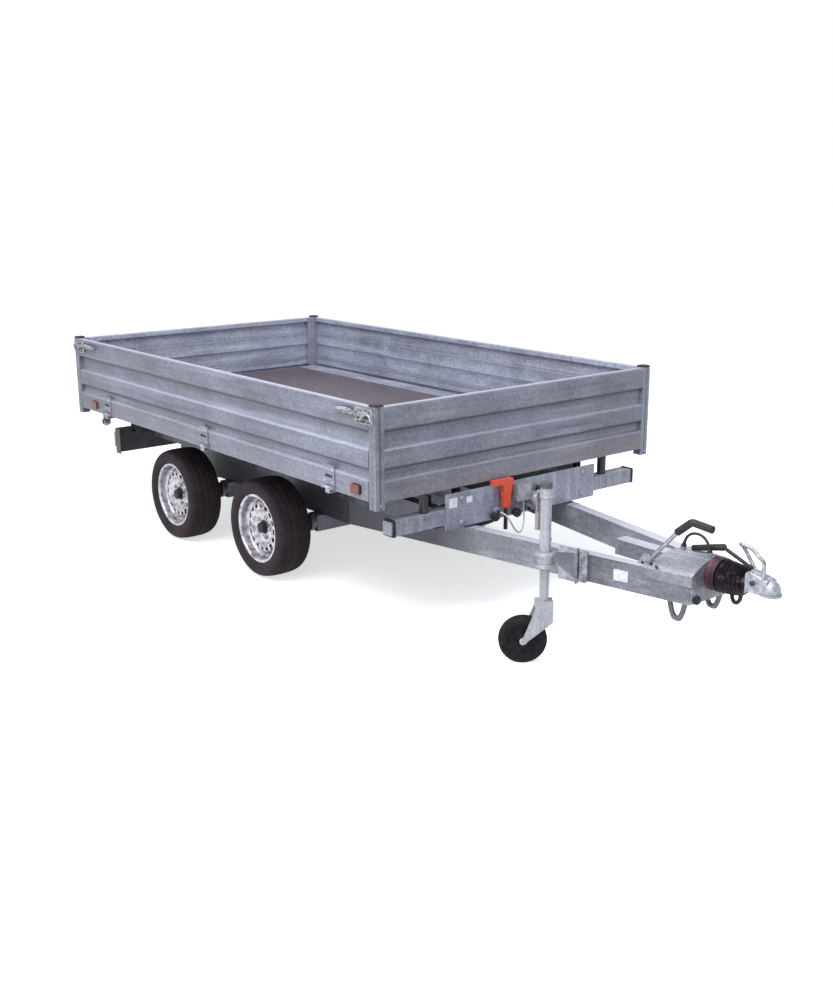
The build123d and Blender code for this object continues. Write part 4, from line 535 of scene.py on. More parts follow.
def board_finish(name, dark, light, runs_along, ground_bounce=0.0):
    """Zinc on a pressed board: a painted highlight on each ledge that faces up and along the top
    edge, painted shade under each one that faces down, and painted warm light, as bounced from
    the ground, towards the lower edge."""
    zinc = galvanised(name, dark, light, 0.011, 0.42, runs_along, 0.3)
    base = zinc.so_far()
    level = zinc.sum(zinc.along(2), zinc.noise(9.0, 5.0, 0.7), 0.012)
    level = zinc.sum(-board_low / (board_high - board_low) - 0.014, level, 1.0 / (board_high - board_low))
    # Painted highlight: bands of the board's height are lightened where ledges face up, and at the top edge.
    ledge_highlights = zinc.ramp(
        level, (0.0, 0.05), (0.205, 0.0), (0.214, 0.50), (0.232, 0.30), (0.242, 0.06), (0.330, 0.0),
        (0.500, 0.04), (0.534, 0.06), (0.541, 0.70), (0.556, 0.50), (0.566, 0.16), (0.620, 0.04),
        (0.740, 0.0), (0.980, 0.0), (0.994, 0.6)
    )
    # Painted shade: bands are darkened under the ledges that face down.
    ledge_shade = zinc.ramp(
        level, (0.0, 0.0), (0.268, 0.0), (0.318, 0.30), (0.330, 0.78), (0.353, 0.62), (0.372, 0.0),
        (0.640, 0.0), (0.716, 0.28), (0.730, 0.62), (0.757, 0.50), (0.775, 0.0)
    )
    base = zinc.blend(ledge_highlights, base, tuple(min(1.0, c * 1.7) for c in light))
    base = zinc.blend(ledge_shade, base, tuple(c * 0.42 for c in dark))
    # Painted warm light: the lower part is warmed, for light bounced off the ground.
    bounce_share = zinc.ramp(zinc.sum(level, zinc.noise(5.0, 5.0, 0.7), 0.5), (0.28, ground_bounce), (0.52, 0.0))
    zinc.colour(zinc.blend(bounce_share, base, (0.26, 0.20, 0.20)))
    return zinc.material


# Lit and shaded copies of one zinc: the left board, seen from inside, and the tailgate are painted lighter,
# and the front board darker, for how the light falls on each.
side_zinc = board_finish("side_board_zinc", (0.140, 0.151, 0.193), (0.270, 0.290, 0.358), 0, 0.12)
dress(side_zinc, "side_board_right")
dress(board_finish("inner_board_zinc", (0.235, 0.255, 0.32), (0.42, 0.45, 0.545), 0), "side_board_left")
dress(board_finish("tailgate_zinc", (0.26, 0.285, 0.36), (0.43, 0.46, 0.56), 1), "tailgate")
dress(board_finish("front_board_zinc", (0.145, 0.150, 0.190), (0.255, 0.268, 0.330), 1, 0.30), "front_board")
stop_section = np.array([(-0.019, -0.0012), (0.019, -0.0012), (0.019, 0.0012), (-0.019, 0.0012)])
stops = []
for sign in (-1, 1):
    stop_line = np.stack([np.full(4, -2.2125), np.full(4, sign * 0.829), np.linspace(0.655, 1.070, 4)], -1)
    stops.append(swept(stop_line, stop_section, (0, 1, 0)))
solid("tailgate_stops", stops, "bed", post.material)

hinge_middles, strap_face = (-1.834, -0.694, 0.446), 0.895
rivet_places = ((-0.032, 0.688), (0.032, 0.688), (-0.028, 0.746), (0.028, 0.746))
hinge_spots = [(x + dx, strap_face, z) for x in hinge_middles for dx, z in rivet_places]
rivet = turned(((0.0085, -0.001), (0.0085, 0.0008), (0.007, 0.0024), (0.004, 0.0032), (0.001, 0.0034)), 20)
solid("hinge_rivets_left", [placed(rivet, hinge_spots, (0, 1, 0))], "side_board_left", bright)
for side, sign in (("right", -1), ("left", 1)):
    hinge_slots, hinge_lips = [], []
    for hinge_x in hinge_middles:
        for parts, half, end_y, end_z, middle_y, middle_z, section in (
            (hinge_slots, 0.026, 0.8948, 0.713, 0.8953, 0.716, circle(0.0062, 10) * (0.35, 1.0)),
            (hinge_lips, 0.030, 0.8945, 0.698, 0.8960, 0.694, circle(0.0040, 10) * (0.8, 1.2)),
        ):
            first, last = [(hinge_x + dx, sign * end_y, end_z) for dx in (-half, half)]
            bent = rounded([first, (hinge_x, sign * middle_y, middle_z), last], 2)
            parts.append(swept(bent, section, (0, 1, 0)))
    # Painted shade: the slots are thin black lumps on the strap, standing in for the shade in the openings.
    solid(f"hinge_slots_{side}", hinge_slots, f"side_board_{side}", black.material)
    solid(f"hinge_lips_{side}", hinge_lips, f"side_board_{side}", bright)
solid(
    "hinge_rivets_right", [placed(rivet, [(x, -y, z) for x, y, z in hinge_spots], (0, -1, 0))],
    "side_board_right", bright
)

# Over-centre latches hold the side boards to the posts: a plated case with a pressed border, a
# long lever on a boss, a coil spring, a hook and bolts. Bright plate, with its slits and the gap
# along the lever drawn as dark strips of painted shade.
latch = Finish("latch_plate", (0.30, 0.32, 0.32), metallic=0.45, roughness=0.4)
speckle = latch.noise(120.0, 4.0, 0.75)
latch.colour(
    latch.ramp(
        speckle, (0.40, (0.040, 0.055, 0.050)), (0.50, (0.20, 0.225, 0.225)), (0.62, (0.52, 0.55, 0.56))
    )
)
latch.relief(latch.noise(150.0, 2.0), 0.0012, 0.8)
dress(latch.material, "side_latches_right", "side_latches_left")
latch_ends, latch_z, spring_turns = ((0.788, -1), (-2.236, 1)), 1.030, 9
latch_bolt_places = ((0.092, 1.012), (0.118, 1.050), (0.118, 1.008), (0.040, 1.006))
for side, sign in (("right", -1), ("left", 1)):
    bright_parts, dark_parts = [], []
    for end_x, inward in latch_ends:
        across = (0, 1, 0)

        def at(inset, height, out=0.0):
            return (end_x + inward * inset, sign * (0.8955 + out), latch_z + height)

        border = rounded([
            at(0.006, 0), at(0.006, 0.032), at(0.068, 0.032), at(0.129, 0.032), at(0.129, -0.032),
            at(0.068, -0.032), at(0.006, -0.032), at(0.006, -0.004)
        ], 3)
        bright_parts.append(swept(border, circle(0.0032, 8), across))
        turns = np.linspace(0.0, 2 * pi * spring_turns, spring_turns * 14)
        coil = np.stack([
            end_x + inward * (0.020 + 0.044 * turns / turns[-1]),
            sign * (0.9015 + 0.0062 * np.cos(turns)),
            1.045 + 0.0085 * np.sin(turns),
        ], -1)
        bright_parts.append(swept(coil, circle(0.0018, 6), (1, 0, 0)))
        hook = rounded([
            at(0.012, -0.020, 0.006), at(0.010, 0.004, 0.010), at(0.026, 0.014, 0.011),
            at(0.060, 0.010, 0.011), at(0.078, -0.004, 0.009), at(0.070, -0.018, 0.006)
        ], 3)
        bright_parts.append(swept(hook, circle(0.0042, 10), across))
        grip = rounded([
            at(0.150, 0.014, 0.005), at(0.190, 0.017, 0.008), at(0.240, 0.014, 0.009),
            at(0.272, 0.010, 0.006)
        ], 2)
        bright_parts.append(swept(grip, circle(0.0052, 10) * (1.0, 1.5), across))
        # Painted shade: the slits and the gap along the lever are dark strips on the case, for the shade in
        # those openings.
        for low in (-0.024, -0.008):
            slit = np.array([at(0.022, low, 0.0012), at(0.052, low, 0.0016), at(0.112, low - 0.004, 0.0012)])
            dark_parts.append(swept(slit, circle(0.0042, 10) * (0.5, 1.0), across))
        gap = np.array([at(0.134, 0.002, -0.004), at(0.200, 0.002, -0.003), at(0.268, 0.002, -0.004)])
        dark_parts.append(swept(gap, circle(0.0048, 10) * (0.5, 1.0), across))
    body = f"side_board_{side}"
    solid(f"latch_springs_{side}", bright_parts, body, bright)
    solid(f"latch_slots_{side}", dark_parts, body, dark_plate_and_gap_shade.material)
    latch_spots = [
        (end_x + inward * inset, sign * 0.8958, z)
        for end_x, inward in latch_ends for inset, z in latch_bolt_places
    ]
    bolts(f"latch_bolts_{side}", latch_spots, (0, sign, 0), 0.0065, body, bright)

# Tandem axles with van tyres on silver steel wheels: a deep rim, a disc with sixteen vents round
# its rim, five bolts, a dark hub cap and the brake drum behind. The tread has four grooves and
# fine cross cuts.
rubber = Finish("tyre_rubber", (0.022, 0.016, 0.022), roughness=0.78, specular=0.25)
rubber.mottled((14.0, 5.0, 0.65), (0.3, (0.013, 0.009, 0.013)), (0.75, (0.040, 0.029, 0.036)))
rubber.relief(rubber.noise(300.0, 3.0), 0.0004, 0.5)
silver = Finish("silver_wheel", (0.55, 0.54, 0.58), metallic=0.65, roughness=0.3)
dust = silver.noise(30.0, 5.0, 0.65)
silver.colour(silver.ramp(dust, (0.36, (0.20, 0.195, 0.22)), (0.58, (0.60, 0.58, 0.63))))
silver.roughness(silver.ramp(dust, (0.3, 0.22), (0.75, 0.48)))
silver.relief(silver.noise(60.0, 3.0), 0.0006, 0.5)
drum_iron = Finish("drum_iron", (0.05, 0.05, 0.055), metallic=0.5, roughness=0.6)
drum_iron.mottled((60.0, 5.0), (0.3, (0.020, 0.020, 0.024)), (0.75, (0.085, 0.080, 0.080)))

wheel_y, wheel_z = 0.705, 0.26
around_steps, tyre_columns = 600, 110
half_tyre = np.array([
    (-66, 172), (-76, 171), (-80, 180), (-87, 184), (-93.5, 197), (-97.2, 214), (-96.0, 230), (-91.5, 243),
    (-84, 250.5), (-70, 255), (-45, 258.6), (-20, 259.7), (0, 259.9),
]) / 1000
tyre_line = np.concatenate([half_tyre, (half_tyre * (-1, 1))[-2::-1]])
tyre_line = rounded(tyre_line, 1)
run = np.concatenate([[0.0], np.cumsum(np.linalg.norm(np.diff(tyre_line, axis=0), axis=1))])
even = np.linspace(0.0, run[-1], tyre_columns)
across_tyre, tyre_height = np.interp(even, run, tyre_line[:, 0]), np.interp(even, run, tyre_line[:, 1])
around_tyre = np.linspace(0.0, 2 * pi, around_steps, endpoint=False)[:, None]
tread_zone = np.clip((0.086 - np.abs(across_tyre)) / 0.004, 0.0, 1.0) * (tyre_height > 0.24)
groove = sum(np.exp(-((across_tyre - middle) / 0.0034) ** 4) for middle in (-0.056, -0.019, 0.019, 0.056))
cut_phase = around_tyre * 90 / (2 * pi) + np.sign(across_tyre) * across_tyre * 14.0
cuts = np.exp(-(((cut_phase % 1.0) - 0.5) / 0.13) ** 4) * (np.abs(across_tyre) > 0.020)
worn = np.maximum(groove, 0.55 * cuts) * tread_zone
wall = (np.abs(across_tyre) > 0.084) * (tyre_height > 0.187)
wall_rings = 0.0011 * wall * (
    np.exp(-((tyre_height - 0.206) / 0.0016) ** 2) + np.exp(-((tyre_height - 0.238) / 0.0016) ** 2)
)
tyre_radius = tyre_height - 0.0065 * worn
tyre_across = (across_tyre + np.sign(across_tyre) * wall_rings) * np.ones_like(around_tyre)

rim_line = np.array([
    (-82, 182), (-78, 182), (-78, 168), (-70, 167.7), (-30, 167.7), (-20, 142), (20, 142), (34, 167.7),
    (70, 167.7), (78, 168), (78, 181), (82, 182), (82.5, 176), (80, 165), (36, 163.7), (22, 138),
    (-22, 138), (-32, 163.7), (-80, 163.7),
]) / 1000
rim_line = rounded(np.concatenate([rim_line, rim_line[:1]]), 2)[:-1]

disc_out = ((0.030, 0.034, 0.060, 0.080, 0.089, 0.098, 0.108, 0.120, 0.128, 0.134, 0.1385),
            (0.0352, 0.036, 0.0362, 0.0365, 0.043, 0.0505, 0.0535, 0.0535, 0.050, 0.042, 0.034))
vents, side_points = 16, 8
sector = 2 * pi / vents
corner_line = np.linspace(-1.0, 1.0, side_points, endpoint=False)
ones = np.ones(side_points)
square = np.concatenate([
    np.stack([corner_line, -ones], -1), np.stack([ones, corner_line], -1),
    np.stack([-corner_line, ones], -1), np.stack([-ones, -corner_line], -1),
])
vent_middle, vent_band, vent_high, vent_long = 0.1155, 0.0135, 0.0108, 0.0155
oval = square / np.linalg.norm(square, axis=1, keepdims=True) * (vent_long / vent_middle, vent_high)
outer_square = square * (sector / 2, vent_band)
shares = np.linspace(0.0, 1.0, 5)[:, None, None]
patch = oval + shares * (outer_square - oval)
patches = patch[None] + np.stack([np.arange(vents) * sector, np.zeros(vents)], -1)[:, None, None]
patches[..., 1] += vent_middle
ring_turns = np.arange(vents * side_points) * sector / side_points - sector / 2
inner_rows = np.linspace(0.031, vent_middle - vent_band, 16)
outer_rows = np.linspace(vent_middle + vent_band, 0.1385, 6)


def wheel_points(turn_angle, radius, out, middle_x, sign):
    """Points at a turn round the wheel, a radius and a distance out from the wheel's middle."""
    turn_angle, radius, out = np.broadcast_arrays(turn_angle, radius, out)
    return np.stack([
        middle_x + radius * np.sin(turn_angle), sign * (wheel_y + out),
        wheel_z + radius * np.cos(turn_angle)
    ], -1)


def vented_disc(name, middle_x, sign, body):
    """The wheel's disc: its distance out is a function of radius, and each vent's oval edge is
    joined to the square patch round it, which meets the plain rings inside and outside."""
    points, faces, start = [], [], 0
    for angles, radii in (
        (patches[..., 0], patches[..., 1]),
        (ring_turns[None, None], inner_rows[None, :, None]),
        (ring_turns[None, None], outer_rows[None, :, None]),
    ):
        angles, radii = np.broadcast_arrays(angles, radii)
        grid = wheel_points(angles, radii, np.interp(radii, *disc_out), middle_x, sign)
        ids = start + np.arange(angles.size).reshape(angles.shape)
        near, far = ids[:, :-1], ids[:, 1:]
        quads = np.stack([near, np.roll(near, -1, axis=2), np.roll(far, -1, axis=2), far], -1)
        faces += quads.reshape(-1, 4).tolist()
        points.append(grid.reshape(-1, 3))
        start += ids.size
    mesh = bpy.data.meshes.new(name)
    mesh.from_pydata(np.concatenate(points).tolist(), [], faces)
    joined = bmesh.new()
    joined.from_mesh(mesh)
    bmesh.ops.remove_doubles(joined, verts=joined.verts, dist=0.00002)
    joined.to_mesh(mesh)
    joined.free()
    disc = finished(name, mesh, body, silver.material, 40.0)
    if sum(face.normal.y for face in mesh.polygons) * sign < 0:
        mesh.flip_normals()
    sheet_thickness = disc.modifiers.new("sheet", "SOLIDIFY")
    sheet_thickness.thickness = 0.004
    return disc


cap_line = np.array([
    (0.5, 64), (20, 63.5), (24, 63), (26.5, 60), (27, 40), (33, 39.5), (37, 38.2), (38, 35)
]) / 1000
drum_line = np.array([
    (60, -120), (104, -120), (112, -116), (112, -40), (115, -36), (115, -30), (112, -26), (112, 6),
    (106, 10), (82, 10), (78, 30), (30, 31)
]) / 1000
for axle, middle_x in (("rear", -1.271), ("front", -0.370)):
    for side, sign in (("right", -1), ("left", 1)):
        body = f"wheel_{axle}_{side}"
        tyre = solid(
            f"tread_{axle}_{side}", [wheel_points(around_tyre, tyre_radius, tyre_across, middle_x, sign)],
            body, rubber.material, closed=True, angle=50.0
        )
        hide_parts(f"tyre_{axle}_{side}")
        turn_line = np.linspace(0.0, 2 * pi, 128, endpoint=False)[:, None]
        rim = solid(
            f"rim_{axle}_{side}",
            [wheel_points(turn_line, rim_line[None, :, 1], rim_line[None, :, 0], middle_x, sign)], body,
            silver.material, closed=True, angle=40.0
        )
        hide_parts(f"wheel_{axle}_{side}")
        vented_disc(f"disc_{axle}_{side}", middle_x, sign, body)
        centre = (middle_x, sign * wheel_y, wheel_z)
        solid(
            f"hub_cap_{axle}_{side}", [placed(turned(cap_line, 48), [centre], (0, sign, 0))], body,
            black.material
        )
        solid(
            f"drum_{axle}_{side}", [placed(turned(drum_line, 64), [centre], (0, sign, 0))], body,
            drum_iron.material
        )
        lug_turn = np.arange(5) * 2 * pi / 5 + 0.3
        lugs = wheel_points(lug_turn, np.full(5, 0.056), np.full(5, 0.0366), middle_x, sign)
        bolts(f"wheel_bolts_{axle}_{side}", lugs, (0, sign, 0), 0.0098, body, bright)
        valve_foot = wheel_points(np.array([2.2]), np.array([0.152]), np.array([0.036]), middle_x, sign)[0]
        stem = turned((
            (0.0058, 0.0), (0.0052, 0.012), (0.0034, 0.018), (0.0034, 0.034), (0.0042, 0.035),
            (0.0042, 0.042), (0.003, 0.043)
        ), 14)
        solid(
            f"tyre_valve_{axle}_{side}", [placed(stem, [valve_foot], (0, sign, 0.15))], body,
            black.material
        )

# The hydraulics: a grey telescopic cylinder with chromed stages under the bed, and on the front
# member a pump motor with its plugs, and an orange valve lever with light scuffs on a black stem.
grey = Finish("grey_paint", (0.10, 0.105, 0.115), roughness=0.45)
grey.mottled((20.0, 5.0, 0.65), (0.3, (0.075, 0.078, 0.088)), (0.75, (0.17, 0.175, 0.19)))
grey.relief(grey.noise(240.0, 2.0), 0.0003, 0.5)
chrome = Finish("chromed_steel", (0.62, 0.63, 0.65), metallic=1.0, roughness=0.14)
wiped = chrome.noise(1.0, 4.0, 0.6, at=chrome.stretched(60.0, 60.0, 4.0))
chrome.colour(chrome.ramp(wiped, (0.3, (0.50, 0.51, 0.53)), (0.7, (0.72, 0.73, 0.75))))
chrome.roughness(chrome.ramp(wiped, (0.3, 0.10), (0.75, 0.24)))
dress(grey.material, "cylinder_barrel")
dress(chrome.material, "cylinder_stage_1", "cylinder_stage_2", "cylinder_stage_3", "cylinder_rod")

pump = Finish("pump_zinc", (0.42, 0.43, 0.44), metallic=0.4, roughness=0.4)
pump.mottled((50.0, 5.0, 0.6), (0.3, (0.20, 0.205, 0.225)), (0.7, (0.46, 0.47, 0.50)))
dress(pump.material, "hydraulic_unit")
orange = Finish("orange_lever", (0.86, 0.075, 0.022), roughness=0.32)
scuffed = orange.noise(120.0, 4.0, 0.7)
lever_colour = orange.ramp(
    scuffed, (0.36, (0.62, 0.030, 0.012)), (0.55, (0.90, 0.085, 0.028)), (0.68, (0.92, 0.30, 0.17))
)
low_down = orange.ramp(orange.along(2), (0.509, 1.0), (0.513, 0.0))
orange.colour(orange.blend(low_down, lever_colour, (0.012, 0.011, 0.013)))
orange.relief(orange.noise(70.0, 3.0), 0.0006, 0.6)
dress(orange.material, "valve_handle")
motor_cap = turned((
    (0.034, -0.030), (0.036, -0.026), (0.036, -0.004), (0.033, 0.0015), (0.020, 0.003), (0.019, 0.0005),
    (0.007, 0.0005), (0.006, 0.004)
), 40)
solid(
    "motor_end", [placed(motor_cap, [(0.873, 0.036, 0.531)], (1, 0, 0))], "root", pump.material,
)
plug_line = turned((
    (0.017, -0.002), (0.017, 0.008), (0.021, 0.010), (0.022, 0.024), (0.018, 0.030), (0.011, 0.032),
    (0.009, 0.040)
), 24)
plug_places = ((0.092, 0.503), (0.096, 0.560), (-0.200, 0.474), (-0.060, 0.470))
plug_spots = [(front_plate_x, y, z) for y, z in plug_places]
solid("cable_plugs", [placed(plug_line, plug_spots, (1, 0, 0))], "root", black.material)


def slab(width, height, thick, corner=0.004):
    """Rings of a thin plate round Z: the outline is a superellipse of high power, so that its
    corners are rounded, and a small bevel closes both sides."""
    around = np.linspace(0.0, 2 * pi, 64, endpoint=False)
    power = 2 * corner / min(width, height)
    outline = np.stack([
        np.sign(np.cos(around)) * np.abs(np.cos(around)) ** power * width / 2,
        np.sign(np.sin(around)) * np.abs(np.sin(around)) ** power * height / 2,
    ], -1)
    bevel = min(0.0008, thick / 3)
    levels = ((-0.001, 0.0), (thick - bevel, 0.0), (thick, bevel))
    return np.stack([
        np.concatenate([outline * (1 - 2 * cut / min(width, height)), np.full((64, 1), level)], -1)
        for level, cut in levels
    ])


# Blank labels where the trailer carries printed ones: two on the front member, one on the
# right beam, all white and a little dirty.
sticker = Finish("white_label", (0.82, 0.82, 0.85), roughness=0.4)
smear = sticker.noise(60.0, 4.0, 0.65)
sticker.colour(sticker.ramp(smear, (0.30, (0.60, 0.61, 0.68)), (0.52, (0.88, 0.88, 0.91))))
beam_out = (0.187, -0.982, 0.0)
label_stacks = [
    placed(slab(0.050, 0.046, 0.0006), [(front_plate_x, -0.449, 0.580)], (1, 0, 0)),
    placed(slab(0.036, 0.030, 0.0006), [(front_plate_x, -0.349, 0.582)], (1, 0, 0)),
    placed(slab(0.070, 0.050, 0.0008), [(1.607, arm_edge(1.607), 0.386)], beam_out),
]
solid("blank_labels", label_stacks, "root", sticker.material)

# The overrun coupling: a folded hood over the sliding shaft, a reddish collar, a black ribbed
# bellows and a bright cast head with its lever, beside the handbrake and its black grip.
hood = galvanised("hood_zinc", (0.165, 0.172, 0.205), (0.335, 0.345, 0.40), 0.008, 0.4, 0)
dress(hood.material, "housing_hood")
bellows_rubber = Finish("bellows_rubber", (0.020, 0.014, 0.022), roughness=0.6, specular=0.22)
bellows_dirt_and_sheen = bellows_rubber.noise(34.0, 5.0, 0.65)
# The pale patches are partly dust and partly painted highlight, standing in for the light on the folds.
bellows_rubber.colour(
    bellows_rubber.ramp(
        bellows_dirt_and_sheen, (0.40, (0.003, 0.002, 0.004)), (0.54, (0.016, 0.010, 0.016)),
        (0.66, (0.120, 0.080, 0.115))
    )
)
bellows_rubber.relief(bellows_rubber.noise(80.0, 4.0), 0.0018, 0.7)
dress(bellows_rubber.material, "bellows")
collar_rubber = Finish("red_collar", (0.13, 0.045, 0.065), roughness=0.5)
collar_rubber.mottled((42.0, 4.0, 0.65), (0.34, (0.020, 0.008, 0.014)), (0.66, (0.17, 0.055, 0.08)))
collar_base = collar_rubber.so_far()
near_bellows = collar_rubber.ramp(
    collar_rubber.sum(-1.0, collar_rubber.along(0)), (0.952, 0.0), (0.962, 0.85)
)
collar_rubber.colour(collar_rubber.blend(near_bellows, collar_base, (0.016, 0.009, 0.014)))
collar_rubber.relief(collar_rubber.noise(160.0, 3.0), 0.0008, 0.6)
dress(collar_rubber.material, "bellows_collar")

cast = Finish("cast_zinc", (0.42, 0.44, 0.50), metallic=0.35, roughness=0.36)
blotch = cast.noise(42.0, 5.0, 0.7)
cast_colour = cast.ramp(
    blotch, (0.34, (0.19, 0.20, 0.24)), (0.56, (0.42, 0.44, 0.50)), (0.72, (0.66, 0.68, 0.73))
)
cast.colour(cast_colour)
cast.roughness(cast.ramp(blotch, (0.3, 0.50), (0.75, 0.28)))
cast.relief(cast.noise(160.0, 3.0), 0.0012, 0.7)
dress(cast.material, "coupling_head")
dress(bright, "coupling_handle", "handbrake_lever")
grip_rubber = Finish("grip_rubber", (0.022, 0.021, 0.026), roughness=0.6, specular=0.25)
grip_rubber.mottled((90.0, 4.0, 0.65), (0.32, (0.010, 0.010, 0.013)), (0.74, (0.062, 0.058, 0.066)))
grip_rubber.relief(grip_rubber.noise(340.0, 2.0), 0.0006, 0.6)
dress(grip_rubber.material, "handbrake_grip", "coupling_bar")

bolts(
    "lever_bolts", [(1.735, -0.166, 0.4645), (1.772, -0.176, 0.4605), (1.700, -0.178, 0.4605)], (0, 0, 1),
    0.0062, "root", dark_plate_and_gap_shade.material
)
pin_line = turned((
    (0.0105, -0.004), (0.0105, 0.001), (0.0085, 0.0022), (0.004, 0.0022), (0.0036, 0.0008)
), 24)
solid(
    "head_pin", [placed(pin_line, [(2.150, -0.044, 0.458)], (0, -1, 0))], "root", dark_plate_and_gap_shade.material,
)

loop_corners = ((1.8015, 0.327), (1.824, 0.2435), (1.866, 0.2435), (1.8885, 0.327))
loop_stacks = []
for sign in (-1, 1):
    loop_path = rounded([(x, sign * 0.118, z) for x, z in loop_corners], 4)
    loop_stacks.append(swept(loop_path, circle(0.0115, 16), (0, 1, 0)))
solid("towing_loops", loop_stacks, "root", axle_zinc)
ring_around = np.linspace(0.0, 2 * pi, 64, endpoint=False)
safety_ring = np.stack([
    2.050 + 0.021 * np.cos(ring_around), 0.004 * np.sin(ring_around), 0.374 + 0.032 * np.sin(ring_around)
], -1)
ring_out = np.stack([np.cos(ring_around), np.zeros(64), np.sin(ring_around)], -1)
ring_section = circle(0.0088, 12)
ring_sideways = ring_section[None, :, 1:] * np.array([0.0, 1.0, 0.0])
ring_grid = safety_ring[:, None] + ring_section[None, :, :1] * ring_out[:, None] + ring_sideways
solid("safety_ring", [ring_grid], "root", grip_rubber.material, closed=True)

foot_pad = turned(((0.016, -0.004), (0.019, 0.002), (0.019, 0.014), (0.014, 0.020), (0.004, 0.022)), 28)
solid(
    "housing_pads", [placed(foot_pad, [(1.930, -0.112, 0.345), (1.930, 0.112, 0.345)], (1, 0, 0))], "root",
    grip_rubber.material
)

# The jockey wheel: a plated tube with a dark top band, clamped by a ring between bracket plates
# on the right beam, over a rounded fork with a solid rubber wheel.
tube_zinc = galvanised("tube_zinc", (0.26, 0.275, 0.32), (0.50, 0.52, 0.575), 0.008, 0.28, 2)
tube_dark = tube_zinc.ramp(tube_zinc.along(2), (0.772, 0.0), (0.776, 0.85))
tube_base = tube_zinc.so_far()
tube_zinc.colour(tube_zinc.blend(tube_dark, tube_base, (0.035, 0.035, 0.045)))
dress(tube_zinc.material, "jockey_tube")
fork_zinc = galvanised("fork_zinc", (0.25, 0.265, 0.31), (0.46, 0.475, 0.53), 0.009, 0.28, 2)
dress(fork_zinc.material, "jockey_leg", "jockey_fork")
crank_steel = Finish("crank_steel", (0.20, 0.19, 0.19), metallic=0.4, roughness=0.5)
on_grip = crank_steel.ramp(crank_steel.along(2), (0.700, 0.0), (0.704, 1.0))
worn_steel = crank_steel.ramp(
    crank_steel.noise(60.0, 4.0), (0.3, (0.22, 0.21, 0.22)), (0.7, (0.40, 0.385, 0.40))
)
worn_grip = crank_steel.ramp(
    crank_steel.noise(70.0, 4.0), (0.3, (0.19, 0.165, 0.165)), (0.7, (0.33, 0.29, 0.29))
)
crank_steel.colour(crank_steel.blend(on_grip, worn_steel, worn_grip))
dress(crank_steel.material, "jockey_crank")
solid_rubber = Finish("solid_rubber", (0.018, 0.015, 0.020), roughness=0.7, specular=0.15)
solid_rubber.mottled((40.0, 5.0, 0.65), (0.34, (0.004, 0.003, 0.004)), (0.72, (0.026, 0.020, 0.026)))
solid_rubber.relief(solid_rubber.noise(260.0, 3.0), 0.0005, 0.6)
dress(solid_rubber.material, "jockey_wheel")

jockey_x, jockey_y = 1.406, -0.46
band = np.array([(0.0245, -0.007), (0.0415, -0.007), (0.0430, 0.0), (0.0415, 0.007), (0.0245, 0.007)])
band_radius = band[:, 0] + 0.0035
clamp_rings = [np.stack([
    jockey_x + np.cos(ring_around)[:, None] * band_radius,
    jockey_y + np.sin(ring_around)[:, None] * band_radius,
    level + np.ones_like(ring_around)[:, None] * band[:, 1],
], -1) for level in (0.439, 0.490)]
solid("clamp_rings", clamp_rings, "root", fork_zinc.material, closed=True)
collar_edge = turned(((0.0262, 0.733), (0.0285, 0.735), (0.0285, 0.739), (0.0262, 0.741)), 32)
solid(
    "tube_edge", [placed(collar_edge, [(jockey_x, jockey_y, 0.0)])], "root", fork_zinc.material,
    closed=True
)
bracket_stacks = [
    placed(slab(0.092, 0.150, 0.006, 0.006), [(1.345, arm_edge(1.345), 0.386)], beam_out),
    placed(slab(0.040, 0.142, 0.016, 0.006), [(1.432, arm_edge(1.432), 0.392)], beam_out),
    placed(slab(0.014, 0.160, 0.020, 0.003), [(1.398, arm_edge(1.398), 0.388)], beam_out),
]
solid("bracket_plates", bracket_stacks, "root", bright)
bracket_spots = [(x, arm_edge(x) - 0.016, z) for x, z in ((1.432, 0.344), (1.432, 0.436))]
bolts("bracket_bolts", bracket_spots, beam_out, 0.0125, "root", fork_zinc.material)

# Lamps: amber side markers with a darker end and a ribbed lens on each side board, and a rear
# board with three-colour lamps under the bed.
amber = Finish("marker_lens", (0.20, 0.040, 0.012), roughness=0.3, specular=0.3)
marker_share = amber.noise(1.0, 2.0, 0.5, at=amber.stretched(700.0, 4.0, 4.0))
amber_colour = amber.ramp(marker_share, (0.35, (0.12, 0.022, 0.010)), (0.65, (0.26, 0.050, 0.016)))
near_rear = amber.ramp(amber.along(0), (0.674, 0.0), (0.677, 1.0))
amber.colour(amber.blend(near_rear, amber_colour, (0.060, 0.020, 0.012)))
amber.shader.inputs["Coat Weight"].default_value = 0.35
dress(amber.material, "marker_lamps_right", "marker_lamps_left")
red = Finish("tail_lens", (0.42, 0.012, 0.012), roughness=0.16)
red_cells = red.ramp(
    red.noise(1.0, 2.0, 0.5, at=red.stretched(4.0, 260.0, 260.0)), (0.3, (0.26, 0.008, 0.008)),
    (0.7, (0.52, 0.022, 0.018))
)
red.colour(red.blend(red.ramp(red.along(2), (0.428, 0.0), (0.430, 1.0)), red_cells, (0.62, 0.17, 0.018)))
red.shader.inputs["Coat Weight"].default_value = 0.4
dress(red.material, "tail_lamps")
lamp_plastic = Finish("lamp_board_finish", (0.085, 0.085, 0.098), roughness=0.5)
lamp_plastic.mottled((12.0, 5.0, 0.6), (0.3, (0.060, 0.060, 0.072)), (0.75, (0.130, 0.130, 0.145)))
dress(lamp_plastic.material, "lamp_board")
frame_shape = slab(0.074, 0.050, 0.0035, 0.012)
for side, sign in (("right", -1), ("left", 1)):
    spots = [(x, sign * 0.8875, 0.692) for x in (-2.009, 0.654)]
    solid(
        f"marker_frames_{side}", [placed(frame_shape, spots, (0, sign, 0))], f"side_board_{side}",
        black.material
    )

